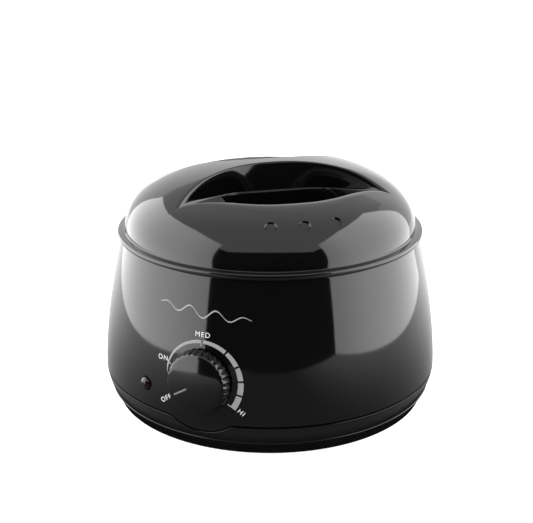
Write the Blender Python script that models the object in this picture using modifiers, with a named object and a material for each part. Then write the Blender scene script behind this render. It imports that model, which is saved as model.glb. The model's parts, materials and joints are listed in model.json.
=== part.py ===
"""Wax warmer pot: a low round housing with a dial, a heated well, a lift-out pot and a domed lid.

Run with: blender --background --python part.py
Metres, +Z up. The dial faces -Y, the origin is on the vertical axis at the level of the feet.
"""

import math

import bmesh
import bpy
from mathutils import Matrix, Vector

MM = 0.001
GAP = 0.3
ROUND_STEPS = 40

# Housing and base, in millimetres
MAX_RADIUS = 90.0
SEAM_Z = 19.2
SIDE_POWER = 1.65
BASE_TAPER, BASE_POWER = 2.9, 1.5
TOP_Z = 91.4
TOP_RADIUS = 79.1
WALL = 2.4
BASE_BOTTOM_Z = 2.0
BASE_LEDGE_Z = 8.8
FLOOR_TOP_Z = 4.4
POST_CIRCLE = 79.0
POST_ANGLES = (30, 150, 210, 330)
FOOT_CIRCLE = 68.0
FOOT_ANGLES = (45, 135, 225, 315)

# Collar that carries the heating well
COLLAR_INNER = 73.5
LEDGE_TOP_Z = 85.0
LEDGE_INNER = 65.5
FLANGE_SCREW_CIRCLE = 70.2
FLANGE_SCREW_ANGLES = (90, 210, 330)

# Dial
DIAL_Z = 40.2
LOBE_RADIUS = 26.3
KNOB_BASE_RADIUS = 16.4
KNOB_FACE_RADIUS = 14.8
KNOB_FACE_DEPTH = 7.2
SPINDLE_DEPTH = 5.6
KNOB_RIBS = 30
OFF_ANGLE = 211
BRACKET_REACH = 19.0

# Indicator and cord gland
INDICATOR_TURN = -21.5
INDICATOR_Z = 31.1
GLAND_Z = 31.0

# Heating well and pot
WELL_OUTER = 63.2
WELL_WALL = 1.2
WELL_BOTTOM_Z = 26.0
WELL_FLANGE_Z = 86.6
BAND_SCREW_Y, BAND_SCREW_Z = 71.0, 46.0
STUD_CIRCLE = 40.0
STUD_ANGLES = (90, 210, 330)
SHIELD_Z = 16.0
POT_RADIUS = 60.5
POT_WALL = 1.2
POT_BOTTOM_Z = 28.5
POT_RIM_Z = 88.1
RIVET_Z = 82.0
BAIL_Z = 91.2
BAIL_RADIUS = 62.0
BAIL_WIRE = 1.5

# Lid
LID_TURN = 36.9
LID_FLANGE_RADIUS = 81.2
LID_FLANGE_Z = 91.7
LID_DOME_Z = 94.6
LID_DOME_RADIUS = 77.5
LID_DOME_HEIGHT = 35.0
LID_POWER = 1 / 2.45
LID_WALL = 2.4
GRIP_BACK = (-76.3, 71.9)
GRIP_TIP = 55.0
GRIP_LIP = -48.5
POCKET_HALF = 29.0
GRIP_SHELF_Z = 115.0
GRIP_FLOOR_Z = 104.6
VENT_RADIUS = 2.75
VENT_CIRCLE = 66.5
VENT_ANGLES = (-14.3, 0, 14.3)
VENT_Z = 114.1
VENT_RISE = 51.6
VENT_DEPTH = 1.4


def housing_radius(z):
    """Outer radius of the housing, and of the base where z is under the seam."""
    if z >= SEAM_Z:
        above = (z - SEAM_Z) / (TOP_Z - SEAM_Z)
        return MAX_RADIUS - (MAX_RADIUS - TOP_RADIUS) * above**SIDE_POWER
    below = min((SEAM_Z - z) / (SEAM_Z - BASE_LEDGE_Z), 1)
    return MAX_RADIUS - BASE_TAPER * below**BASE_POWER


def housing_slope(z):
    """Angle in radians by which the housing's outer normal points up at height z."""
    return math.atan(housing_radius(z - 0.5) - housing_radius(z + 0.5))


def dome_radius(z, inset=0.0):
    """Radius of the lid's dome at height z, for the surface that lies inset below the outer one."""
    share = (z - LID_DOME_Z) / (LID_DOME_HEIGHT - inset)
    return (LID_DOME_RADIUS - inset) * max(1 - share * share, 0) ** LID_POWER


def polar(radius, degrees, z=0.0):
    angle = math.radians(degrees)
    return (radius * math.cos(angle), radius * math.sin(angle), z)


def circle(radius, z=0.0, count=24, centre=(0, 0)):
    """A loop of points, anticlockwise seen from above."""
    turns = [2 * math.pi * i / count for i in range(count)]
    return [(centre[0] + radius * math.cos(t), centre[1] + radius * math.sin(t), z) for t in turns]


def arc(radius, start, end, count):
    step = (end - start) / (count - 1)
    return [polar(radius, start + step * i)[:2] for i in range(count)]


def corner(centre, radius, start, end, count=3):
    """Points of a rounded corner of a (radius, height) profile."""
    return [(centre[0] + x, centre[1] + y) for x, y in arc(radius, start, end, count)]


# Scene and materials

for old in list(bpy.data.objects):
    bpy.data.objects.remove(old, do_unlink=True)

PARTS = bpy.data.collections.new("wax_warmer_pot")
CUTTERS = bpy.data.collections.new("cutters")
for collection in (PARTS, CUTTERS):
    bpy.context.scene.collection.children.link(collection)
CUTTERS.hide_render = True

FINISHES = {
    "gloss_black": ((0.012, 0.012, 0.013), 0.08, 0.0),
    "satin_black": ((0.02, 0.02, 0.021), 0.35, 0.0),
    "rubber": ((0.03, 0.03, 0.03), 0.8, 0.0),
    "aluminium": ((0.78, 0.78, 0.79), 0.3, 1.0),
    "steel": ((0.55, 0.55, 0.56), 0.35, 1.0),
    "brass": ((0.78, 0.6, 0.3), 0.3, 1.0),
    "mica": ((0.55, 0.5, 0.42), 0.5, 0.0),
    "fibre": ((0.82, 0.8, 0.75), 0.9, 0.0),
    "ceramic": ((0.86, 0.84, 0.8), 0.45, 0.0),
    "silicone": ((0.6, 0.1, 0.07), 0.6, 0.0),
    "print_white": ((0.85, 0.85, 0.85), 0.4, 0.0),
    "lens": ((0.1, 0.01, 0.01), 0.1, 0.0),
    "glass": ((0.8, 0.35, 0.2), 0.1, 0.0),
    "lead_brown": ((0.2, 0.08, 0.03), 0.5, 0.0),
    "lead_blue": ((0.03, 0.1, 0.4), 0.5, 0.0),
}


def finish(obj, name):
    """Gives the object a Principled material of its own."""
    colour, roughness, metallic = FINISHES[name]
    material = bpy.data.materials.new(f"{obj.name}_{name}")
    material.use_nodes = True
    shader = material.node_tree.nodes["Principled BSDF"]
    shader.inputs["Base Color"].default_value = (*colour, 1)
    shader.inputs["Roughness"].default_value = roughness
    shader.inputs["Metallic"].default_value = metallic
    obj.data.materials.clear()
    obj.data.materials.append(material)
    return obj


def empty(name, at, rotation=(0, 0, 0), parent=None):
    """A frame that parts are placed in. at is in millimetres, rotation in degrees."""
    obj = bpy.data.objects.new(name, None)
    obj.location = Vector(at) * MM
    obj.rotation_euler = [math.radians(angle) for angle in rotation]
    obj.parent = parent
    PARTS.objects.link(obj)
    return obj


def place(obj, parent, at=(0, 0, 0), rotation=(0, 0, 0)):
    obj.parent = parent
    obj.location = Vector(at) * MM
    obj.rotation_euler = [math.radians(angle) for angle in rotation]
    return obj


def make(name, data, material=None):
    """Links mesh or curve data as a part, or as a cutter where it has no material."""
    obj = bpy.data.objects.new(name, data)
    if material:
        PARTS.objects.link(obj)
        return finish(obj, material)
    CUTTERS.objects.link(obj)
    obj.hide_render = True
    obj.display_type = "WIRE"
    return obj


def smooth(obj, degrees=35):
    obj.data.shade_smooth()
    obj.data.set_sharp_from_angle(angle=math.radians(degrees))
    return obj


def turned(name, profile, material=None, steps=64, closed=True):
    """A turned shape. The profile is (radius, height) in mm and runs down its outer side."""
    mesh = bpy.data.meshes.new(name)
    points = [(r * MM, 0, z * MM) for r, z in profile]
    edges = [(i, i + 1) for i in range(len(points) - 1)]
    if closed:
        edges.append((len(points) - 1, 0))
    mesh.from_pydata(points, edges, [])
    obj = make(name, mesh, material)
    screw = obj.modifiers.new("turn", "SCREW")
    screw.axis = "Z"
    screw.steps = steps
    screw.render_steps = steps
    screw.use_merge_vertices = True
    screw.merge_threshold = 0.00001
    return obj


def turned_disc(name, profile, material=None, steps=32):
    """A turned shape whose profile starts and ends on its axis."""
    return turned(name, profile, material, steps, closed=False)


def add_loft(bm, loops, matrix=None):
    """Adds a closed body through loops of equal count, which run anticlockwise and go up."""
    matrix = matrix or Matrix()
    rings = [[bm.verts.new(matrix @ (Vector(p) * MM)) for p in loop] for loop in loops]
    count = len(rings[0])
    bm.faces.new(list(reversed(rings[0])))
    for low, high in zip(rings, rings[1:]):
        for i in range(count):
            j = (i + 1) % count
            bm.faces.new((low[i], low[j], high[j], high[i]))
    bm.faces.new(rings[-1])


def shift(vector, rotation=(0, 0, 0)):
    """A placing matrix: a turn in degrees, then a move in millimetres."""
    turn = Matrix.Identity(4)
    for axis, degrees in zip("XYZ", rotation):
        turn = Matrix.Rotation(math.radians(degrees), 4, axis) @ turn
    return Matrix.Translation(Vector(vector) * MM) @ turn


def lofted(name, bodies, material=None):
    """One object from (loops, matrix) bodies."""
    bm = bmesh.new()
    for loops, matrix in bodies:
        add_loft(bm, loops, matrix)
    mesh = bpy.data.meshes.new(name)
    bm.to_mesh(mesh)
    bm.free()
    return make(name, mesh, material)


def stepped(levels, count=24):
    """Loops of a round body from (radius, z) levels that go up."""
    return [circle(radius, z, count) for radius, z in levels]


def box_loops(size, centre=(0, 0, 0)):
    x, y, z = (side / 2 for side in size)
    cx, cy, cz = centre
    outline = [(cx - x, cy - y), (cx + x, cy - y), (cx + x, cy + y), (cx - x, cy + y)]
    return [[(px, py, level) for px, py in outline] for level in (cz - z, cz + z)]


def slot_loops(length, width, low, high, ends=4):
    """A slot with round ends, long along X."""
    reach = (length - width) / 2
    outline = [(x + reach, y) for x, y in arc(width / 2, -90, 90, ends)]
    outline += [(x - reach, y) for x, y in arc(width / 2, 90, 270, ends)]
    return [[(x, y, z) for x, y in outline] for z in (low, high)]


def boolean(obj, other, operation="DIFFERENCE"):
    modifier = obj.modifiers.new(f"{operation.lower()}_{other.name}"[:60], "BOOLEAN")
    modifier.operation = operation
    modifier.object = other
    modifier.solver = "EXACT"
    return obj


def bevelled(obj, width, segments=2, degrees=40):
    modifier = obj.modifiers.new("edge", "BEVEL")
    modifier.width = width * MM
    modifier.segments = segments
    modifier.limit_method = "ANGLE"
    modifier.angle_limit = math.radians(degrees)
    modifier.use_clamp_overlap = True
    return obj


def wire(name, points, radius, material, resolution=1):
    """A round wire through points in millimetres."""
    curve = bpy.data.curves.new(name, "CURVE")
    curve.dimensions = "3D"
    curve.bevel_depth = radius * MM
    curve.bevel_resolution = resolution
    curve.use_fill_caps = True
    spline = curve.splines.new("POLY")
    spline.points.add(len(points) - 1)
    for point, where in zip(spline.points, points):
        point.co = (*(Vector(where) * MM), 1)
    return make(name, curve, material)


def through(points, steps=2):
    """Points along a Catmull-Rom curve through the given ones."""
    path = [Vector(p) for p in points]
    path = [2 * path[0] - path[1], *path, 2 * path[-1] - path[-2]]
    found = []
    for a, b, c, d in zip(path, path[1:], path[2:], path[3:]):
        for i in range(steps):
            t = i / steps
            square = (2 * a - 5 * b + 4 * c - d) * t**2
            cube = (3 * b - a - 3 * c + d) * t**3
            found.append(0.5 * (2 * b + (c - a) * t + square + cube))
    return [tuple(p) for p in found] + [tuple(path[-2])]


# Frames

WARMER = empty("warmer_axis", (0, 0, 0))
DIAL_Y = -housing_radius(DIAL_Z)
DIAL_TILT = math.degrees(housing_slope(DIAL_Z))
INDICATOR_TILT = math.degrees(housing_slope(INDICATOR_Z))
DIAL = empty("dial_axis", (0, DIAL_Y, DIAL_Z), (-DIAL_TILT, 0, 0), WARMER)
INDICATOR = empty("indicator_turn", (0, 0, 0), (0, 0, INDICATOR_TURN), WARMER)
INDICATOR_AXIS = empty(
    "indicator_axis",
    (0, -housing_radius(INDICATOR_Z), INDICATOR_Z),
    (-INDICATOR_TILT, 0, 0),
    INDICATOR,
)
LID_AXIS = empty("lid_axis", (0, 0, 0), (0, 0, LID_TURN), WARMER)
BAIL_AXIS = empty("bail_axis", (0, 0, BAIL_Z), (0, 0, 0), WARMER)


# Housing

OUTWARD = (90, 0, 0)


def boss_with_web(radius, reach, low, high):
    """A round boss on the post circle with a web out into the wall, along +X."""
    half_web = 1.6
    start = math.degrees(math.asin(half_web / radius))
    outline = [(POST_CIRCLE + x, y) for x, y in arc(radius, start, 360 - start, 15)]
    outline += [(reach, -half_web), (reach, half_web)]
    return [[(x, y, z) for x, y in outline] for z in (low, high)]


def housing_profile():
    """Outer side down, inner side up, then the double-walled collar and the well's ledge."""
    heights = [90.6, 82, 71, 58, 44, 30, SEAM_Z, 12.6]
    profile = [(TOP_RADIUS - 0.9, TOP_Z)]
    profile += [(housing_radius(z), z) for z in heights]
    profile += [(housing_radius(z) - WALL, z) for z in (12.6, SEAM_Z, 35, 53, 71)]
    collar_outer = COLLAR_INNER + 2.2
    profile += [(housing_radius(89) - WALL, 89.0), (collar_outer, 89.0), (collar_outer, LEDGE_TOP_Z - WALL)]
    profile += [(LEDGE_INNER, LEDGE_TOP_Z - WALL), (LEDGE_INNER, LEDGE_TOP_Z)]
    profile += [(COLLAR_INNER, LEDGE_TOP_Z), (COLLAR_INNER, TOP_Z - 0.8), (COLLAR_INNER + 0.8, TOP_Z)]
    return profile


def build_housing():
    housing = turned("upper_housing", housing_profile(), "gloss_black", steps=ROUND_STEPS)
    turns = [shift((0, 0, 0), (0, 0, angle)) for angle in POST_ANGLES]
    bosses = [(boss_with_web(4.3, MAX_RADIUS - 2.1, 24.0, 40.0), turn) for turn in turns]
    dial_frame = shift((0, DIAL_Y, DIAL_Z), (-DIAL_TILT, 0, 0))
    for side in (-1, 1):
        upright = shift((side * BRACKET_REACH, 0, 0), (90, 0, 0))
        bosses.append((stepped([(3.2, -5.9), (3.2, -3.4)], 12), dial_frame @ upright))
    boolean(housing, lofted("housing_bosses", bosses), "UNION")

    # Everything below the seam goes, apart from the round lobe under the dial.
    seam = turned_disc("seam_cutter", [(0, SEAM_Z + GAP), (110, SEAM_Z + GAP), (110, 0), (0, 0)], steps=48)
    lobe = lofted("lobe_keep", [(stepped([(LOBE_RADIUS - GAP / 2, 60), (LOBE_RADIUS - GAP / 2, 120)], 40),
                                 shift((0, 0, DIAL_Z), OUTWARD))])
    boolean(seam, lobe)
    boolean(housing, seam)

    holes = [(stepped([(1.9, 20), (1.9, 38)], 12), shift(polar(POST_CIRCLE, a))) for a in POST_ANGLES]
    holes += [
        (stepped([(1.5, 78), (1.5, 88)], 10), shift(polar(FLANGE_SCREW_CIRCLE, a)))
        for a in FLANGE_SCREW_ANGLES
    ]
    holes.append((stepped([(5.0, -8), (5.0, 4)], 24), dial_frame @ shift((0, 0, 0), OUTWARD)))
    for side in (-1, 1):
        pilot = shift((side * BRACKET_REACH, 0, 0), OUTWARD)
        holes.append((stepped([(1.5, -8), (1.5, -3.2)], 10), dial_frame @ pilot))
    on_wall = shift((0, -housing_radius(INDICATOR_Z), INDICATOR_Z), (-INDICATOR_TILT, 0, 0))
    indicator = shift((0, 0, 0), (0, 0, INDICATOR_TURN)) @ on_wall
    holes.append((stepped([(3.5, -8), (3.5, 4)], 20), indicator @ shift((0, 0, 0), OUTWARD)))
    holes.append((stepped([(6.3, -96), (6.3, -80)], 24), shift((0, 0, GLAND_Z), OUTWARD)))
    boolean(housing, lofted("housing_holes", holes))
    place(housing, WARMER)


def base_profile():
    """Solid floor and the tapered side with a lip that centres the housing."""
    tuck = 0.5
    profile = [(0, FLOOR_TOP_Z), (81.4, FLOOR_TOP_Z), (82.4, 5.2), (84.6, 9.2)]
    profile += [(85.6, 17), (85.6, 22.2), (87.1, 22.2), (87.2, SEAM_Z)]
    profile += [(housing_radius(z), z) for z in (SEAM_Z, 15, 11.5, BASE_LEDGE_Z)]
    profile += [(87.1 - tuck, BASE_LEDGE_Z - 0.3), (84.4, 2.5), (83.9, BASE_BOTTOM_Z), (0, BASE_BOTTOM_Z)]
    return profile


def build_base():
    base = turned_disc("base_pan", base_profile(), "satin_black", steps=ROUND_STEPS)
    posts = [(stepped([(5.0, 3.4), (4.4, 23.7)], 12), shift(polar(POST_CIRCLE, a))) for a in POST_ANGLES]
    boolean(base, lofted("base_posts", posts), "UNION")
    cuts = [
        (stepped([(3.6, 0.5), (3.6, 5.2), (1.9, 5.2), (1.9, 26)], 10), shift(polar(POST_CIRCLE, a)))
        for a in POST_ANGLES
    ]
    cuts += [(stepped([(7.4, 0.5), (7.4, 3.0)], 14), shift(polar(FOOT_CIRCLE, a))) for a in FOOT_ANGLES]
    cuts += [
        (slot_loops(16, 2.8, 1, 6), shift((0, 0, 0), (0, 0, 45 * i)) @ shift((29, 0, 0))) for i in range(8)
    ]
    boolean(base, lofted("base_cuts", cuts))
    scallop = lofted("base_scallop", [(stepped([(LOBE_RADIUS + GAP / 2, 60), (LOBE_RADIUS + GAP / 2, 120)], 40),
                                       shift((0, 0, DIAL_Z), OUTWARD))])
    boolean(base, scallop)
    place(base, WARMER)


def build_feet_and_base_screws():
    foot_profile = [(0, 2.7), (7.0, 2.7), (7.0, 1.0), (6.4, 0), (0, 0)]
    for index, angle in enumerate(FOOT_ANGLES):
        foot = turned_disc(f"rubber_foot_{index + 1}", foot_profile, "rubber", steps=14)
        place(smooth(foot), WARMER, polar(FOOT_CIRCLE, angle))
    screw_profile = [(0, 37), (1.55, 35.6), (1.55, 4.9), (3.2, 4.9), (3.0, 2.9), (0, 2.7)]
    for index, angle in enumerate(POST_ANGLES):
        screw = turned_disc(f"base_screw_{index + 1}", screw_profile, "steel", steps=10)
        place(smooth(screw), WARMER, polar(POST_CIRCLE, angle))


# Heating well

def well_profile():
    """Open tub with a flange: the outer side down from the flange, then the inner side up."""
    outer = WELL_OUTER
    inner = outer - WELL_WALL
    flange = WELL_FLANGE_Z
    profile = [(72.8, flange + WELL_WALL), (72.8, flange), (outer, flange)]
    profile += corner((outer - 6, WELL_BOTTOM_Z + 6), 6, 0, -90)
    profile += [(0, WELL_BOTTOM_Z), (0, WELL_BOTTOM_Z + WELL_WALL)]
    profile += corner((inner - 4.8, WELL_BOTTOM_Z + 6), 4.8, -90, 0)
    profile += [(inner, flange + 0.4), (inner + 0.8, flange + WELL_WALL)]
    return profile


def build_well():
    well = turned("heating_well", well_profile(), "aluminium", steps=ROUND_STEPS)
    studs = [(stepped([(1.5, 11.0), (1.5, 26.6)], 10), shift(polar(STUD_CIRCLE, a))) for a in STUD_ANGLES]
    boolean(well, lofted("well_studs", studs), "UNION")
    holes = [
        (stepped([(1.5, 84), (1.5, 90)], 10), shift(polar(FLANGE_SCREW_CIRCLE, a)))
        for a in FLANGE_SCREW_ANGLES
    ]
    boolean(well, lofted("well_holes", holes))
    place(well, WARMER)

    low, high = LEDGE_TOP_Z + GAP, WELL_FLANGE_Z - GAP
    seal = turned("well_seal_ring", [(68.2, high), (68.2, low), (65.8, low), (65.8, high)], "silicone", 24)
    place(seal, WARMER)

    top = WELL_FLANGE_Z + WELL_WALL + GAP
    screw_profile = [(0, top + 0.9), (1.6, top + 0.8), (2.2, top), (1.2, top), (1.2, 80), (0, 79.2)]
    for index, angle in enumerate(FLANGE_SCREW_ANGLES):
        screw = turned_disc(f"well_screw_{index + 1}", screw_profile, "steel", steps=10)
        place(smooth(screw), WARMER, polar(FLANGE_SCREW_CIRCLE, angle))


def open_ring(name, inner, outer, low, high, gap_degrees, material, lug=None):
    """A ring open at the rear. lug is how far its ends turn out, and the heights they span."""
    start, end = 90 + gap_degrees / 2, 450 - gap_degrees / 2
    count = 31
    outside, inside = arc(outer, start, end, count), arc(inner, end, start, count)
    ring = lofted(name, [([[(x, y, z) for x, y in outside + inside] for z in (low, high)], Matrix())], material)
    if lug:
        reach, lug_low, lug_high = lug
        bodies = []
        for side in (-1, 1):
            angle = math.radians(gap_degrees / 2) * side
            x = (inner + 0.2) * math.sin(angle)
            centre = (x + side * 0.75, (inner + 0.5 + reach) / 2, (lug_low + lug_high) / 2)
            bodies.append((box_loops((1.5, reach - inner - 0.5, lug_high - lug_low), centre), Matrix()))
        lugs = lofted(f"{name}_lugs", bodies)
        boolean(ring, lugs, "UNION")
        holes = [(stepped([(1.9, -20), (1.9, 20)], 12), shift((0, BAND_SCREW_Y, BAND_SCREW_Z), (0, 90, 0)))]
        boolean(ring, lofted(f"{name}_holes", holes))
    return place(ring, WARMER)


def build_heater():
    open_ring("heater_band", WELL_OUTER + 0.6, WELL_OUTER + 1.9, 32, 60, 14, "mica", (74.5, 39, 53))
    open_ring("insulation_wrap", WELL_OUTER + 2.4, WELL_OUTER + 4.8, 32.5, 63, 36, "fibre")
    screw_profile = [(0, 12.4), (2.8, 12.0), (2.8, 10.2), (1.55, 10.2), (1.55, -16), (0, -16)]
    screw = turned_disc("heater_band_screw", screw_profile, "steel", steps=10)
    place(smooth(screw), WARMER, (0, BAND_SCREW_Y, BAND_SCREW_Z), (0, 90, 0))
    nut = lofted("heater_band_nut", [(hex_ring(2.9, 0, 2.4), Matrix())], "steel")
    place(cut_bore(nut, 1.85, -1, 4), WARMER, (-12.8, BAND_SCREW_Y, BAND_SCREW_Z), (0, 90, 0))


def hex_ring(half_width, low, high):
    """A hexagonal prism; half_width is half its width across the flats."""
    return [circle(half_width / math.cos(math.pi / 6), z, 6) for z in (low, high)]


def cut_bore(obj, radius, low, high):
    """Cuts a round hole along the object's own Z."""
    cutter = lofted(f"{obj.name}_bore", [(stepped([(radius, low), (radius, high)], 10), Matrix())])
    cutter.parent = obj
    boolean(obj, cutter)
    return obj


def build_heat_shield():
    shield = turned_disc(
        "heat_shield",
        [(0, SHIELD_Z + 0.8), (50, SHIELD_Z + 0.8), (52, SHIELD_Z - 1.2), (51.2, SHIELD_Z - 1.2),
         (49.7, SHIELD_Z), (0, SHIELD_Z)],
        "steel",
        steps=24,
    )
    holes = [(stepped([(1.9, 10), (1.9, 20)], 12), shift(polar(STUD_CIRCLE, a))) for a in STUD_ANGLES]
    boolean(shield, lofted("shield_holes", holes))
    place(shield, WARMER)
    for index, angle in enumerate(STUD_ANGLES):
        low, high = SHIELD_Z + 0.8 + GAP, WELL_BOTTOM_Z - GAP
        spacer = turned(f"shield_spacer_{index + 1}", [(3, high), (3, low), (1.85, low), (1.85, high)],
                        "ceramic", steps=12)
        place(smooth(spacer), WARMER, polar(STUD_CIRCLE, angle))
        nut = lofted(f"shield_nut_{index + 1}", [(hex_ring(2.75, 0, 2.4), Matrix())], "steel")
        place(cut_bore(nut, 1.85, -1, 4), WARMER, polar(STUD_CIRCLE, angle, SHIELD_Z - GAP - 2.4))


# Controls

def build_thermostat():
    body = lofted("thermostat_body", [(box_loops((24, 10.0, 26), (0, 12.9, 0)), Matrix())], "ceramic")
    bevelled(body, 1.0, 1)
    bush = lofted("thermostat_bush", [(stepped([(4.2, -8.5), (4.2, 0.1)], 16), shift((0, 0, 0), OUTWARD))])
    boolean(body, bush, "UNION")
    bore = lofted("thermostat_bore", [(stepped([(3.25, -14), (3.25, 2)], 16), shift((0, 0, 0), OUTWARD))])
    boolean(body, bore)
    for helper in (bush, bore):
        helper.parent = DIAL
    place(body, DIAL)

    plate = lofted("thermostat_bracket", [(slot_loops(48, 14, -0.6, 0.6, 5), Matrix())], "steel")
    holes = [(stepped([(4.6, -3), (4.6, 3)], 20), Matrix())]
    holes += [(stepped([(1.9, -3), (1.9, 3)], 12), shift((side * BRACKET_REACH, 0, 0))) for side in (-1, 1)]
    cutter = lofted("bracket_holes", holes)
    cutter.parent = plate
    boolean(plate, cutter)
    place(plate, DIAL, (0, 7.0, 0), OUTWARD)

    screw_profile = [(0, 4.2), (1.2, 4.2), (1.2, 0), (2.7, 0), (2.4, -1.3), (0, -1.5)]
    for index, side in enumerate((-1, 1)):
        screw = turned_disc(f"thermostat_screw_{index + 1}", screw_profile, "steel", steps=10)
        place(smooth(screw), DIAL, (side * BRACKET_REACH, 7.9, 0), OUTWARD)

    spindle_profile = [(0, SPINDLE_DEPTH), (2.95, SPINDLE_DEPTH - 0.3), (2.95, -12.8), (0, -12.8)]
    spindle = turned_disc("thermostat_spindle", spindle_profile, "brass", steps=16)
    place(smooth(spindle), DIAL, (0, 0, 0), OUTWARD)


def ribbed_loop(radius, depth, z):
    """A round outline with shallow ribs."""
    points = []
    for i in range(KNOB_RIBS):
        for offset, r in ((0, radius), (0.5, radius - depth)):
            points.append(polar(r, 360 * (i + offset) / KNOB_RIBS, z))
    return points


def build_knob():
    """Low knob with a ribbed side, a smooth face and an inlaid pointer."""
    base, face, depth = KNOB_BASE_RADIUS, KNOB_FACE_RADIUS, KNOB_FACE_DEPTH
    loops = [
        ribbed_loop(base, 0.75, 0.5),
        ribbed_loop(base - 0.1, 0.75, 1.1),
        ribbed_loop(face + 0.1, 0.45, depth - 0.45),
        ribbed_loop(face - 0.5, 0.0, depth),
    ]
    knob = lofted("dial_knob", [(loops, Matrix())], "gloss_black")
    socket = stepped([(3.25, 0), (3.25, SPINDLE_DEPTH + GAP)], 20)
    groove = slot_loops(8.8, 1.5, depth - 0.8, depth + 1)
    groove_place = shift((0, 0, 0), (0, 0, OFF_ANGLE)) @ shift((8.8, 0, 0))
    cutter = lofted("knob_cuts", [(socket, Matrix()), (groove, groove_place)])
    cutter.parent = knob
    boolean(knob, cutter)
    place(knob, DIAL, (0, 0, 0), OUTWARD)
    low = depth - 0.5
    pointer = lofted(
        "knob_pointer",
        [(slot_loops(8.2, 0.9, low, depth + 0.05), shift((0, 0, 0), (0, 0, OFF_ANGLE)) @ shift((8.8, 0, 0)))],
        "print_white",
    )
    place(pointer, DIAL, (0, 0, 0), OUTWARD)


def build_indicator():
    lens_profile = [(0, 2.5), (1.5, 2.2), (2.7, 1.2), (3.2, -0.4), (3.2, -3.3), (4.8, -3.3), (4.8, -4.6)]
    lens_profile.append((0, -4.6))
    lens = turned_disc("indicator_lens", lens_profile, "lens", steps=16)
    place(smooth(lens), INDICATOR_AXIS, (0, 0, 0), OUTWARD)
    lamp_profile = [(0, -4.9), (1.2, -5.2), (2.0, -6.2), (2.0, -13.4), (2.4, -13.6), (2.4, -15), (0, -15)]
    lamp = turned_disc("indicator_lamp", lamp_profile, "glass", steps=12)
    place(smooth(lamp), INDICATOR_AXIS, (0, 0, 0), OUTWARD)


def build_gland():
    """Empty rear bushing for the mains cord."""
    nose = 94.8
    profile = [(5.3, nose), (6.2, nose - 0.7), (6.6, 92.3), (8.6, 91.8), (8.6, 90.3), (6.0, 90.3), (6.0, 85.5),
               (7.6, 85.2), (7.0, 83.2), (4.2, 83.2), (4.2, nose - 0.4)]
    gland = turned("cord_gland", profile, "satin_black", steps=20)
    place(smooth(gland), WARMER, (0, 0, GLAND_Z), (-90, 0, 0))


def build_terminal_block():
    block = lofted("terminal_block", [(box_loops((32, 14, 9.6), (0, 62, 9.6)), Matrix())], "ceramic")
    bevelled(block, 0.8, 1)
    bores = [(stepped([(2.2, 9), (2.2, 16)], 8), shift((x, 62, 0))) for x in (-10, 0, 10)]
    boolean(block, lofted("terminal_bores", bores))
    place(block, WARMER)


def build_fuse():
    fuse = turned_disc(
        "thermal_fuse",
        [(0, 9.5), (0.9, 9.4), (2.0, 7.0), (2.0, -7.0), (0.9, -9.4), (0, -9.5)],
        "steel",
        steps=14,
    )
    place(smooth(fuse), WARMER, (0, 15, 23.0), (0, 90, 0))
    thickness = 0.6
    path = [(-9, 0), (-3.0, 0)] + [(x, y - 2.7) for x, y in arc(2.7, 180, 360, 9)] + [(3.0, 0), (9, 0)]
    mesh = bpy.data.meshes.new("fuse_clip")
    width = 3.0
    points = [(x * MM, y * MM, z * MM) for x in (-width, width) for y, z in path]
    count = len(path)
    mesh.from_pydata(points, [], [(i, i + 1, count + i + 1, count + i) for i in range(count - 1)])
    clip = make("fuse_clip", mesh, "steel")
    solid = clip.modifiers.new("sheet", "SOLIDIFY")
    solid.thickness = thickness * MM
    solid.offset = 1
    place(clip, WARMER, (0, 15, 25.0))


# Pot

def pot_profile():
    outer, inner = POT_RADIUS, POT_RADIUS - POT_WALL
    bottom, rim = POT_BOTTOM_Z, POT_RIM_Z
    profile = [(66.2, rim + 1.3), (66.9, rim + 0.9), (66.9, rim), (outer + 0.4, rim), (outer, rim - 1)]
    profile += corner((outer - 9.4, bottom + 8), 8, 0, -90)
    profile += [(0, bottom), (0, bottom + POT_WALL)]
    profile += corner((inner - 8.2, bottom + 8), 6.8, -90, 0)
    profile += [(inner, rim - 1), (inner + 0.7, rim + 1.3)]
    return profile


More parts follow.
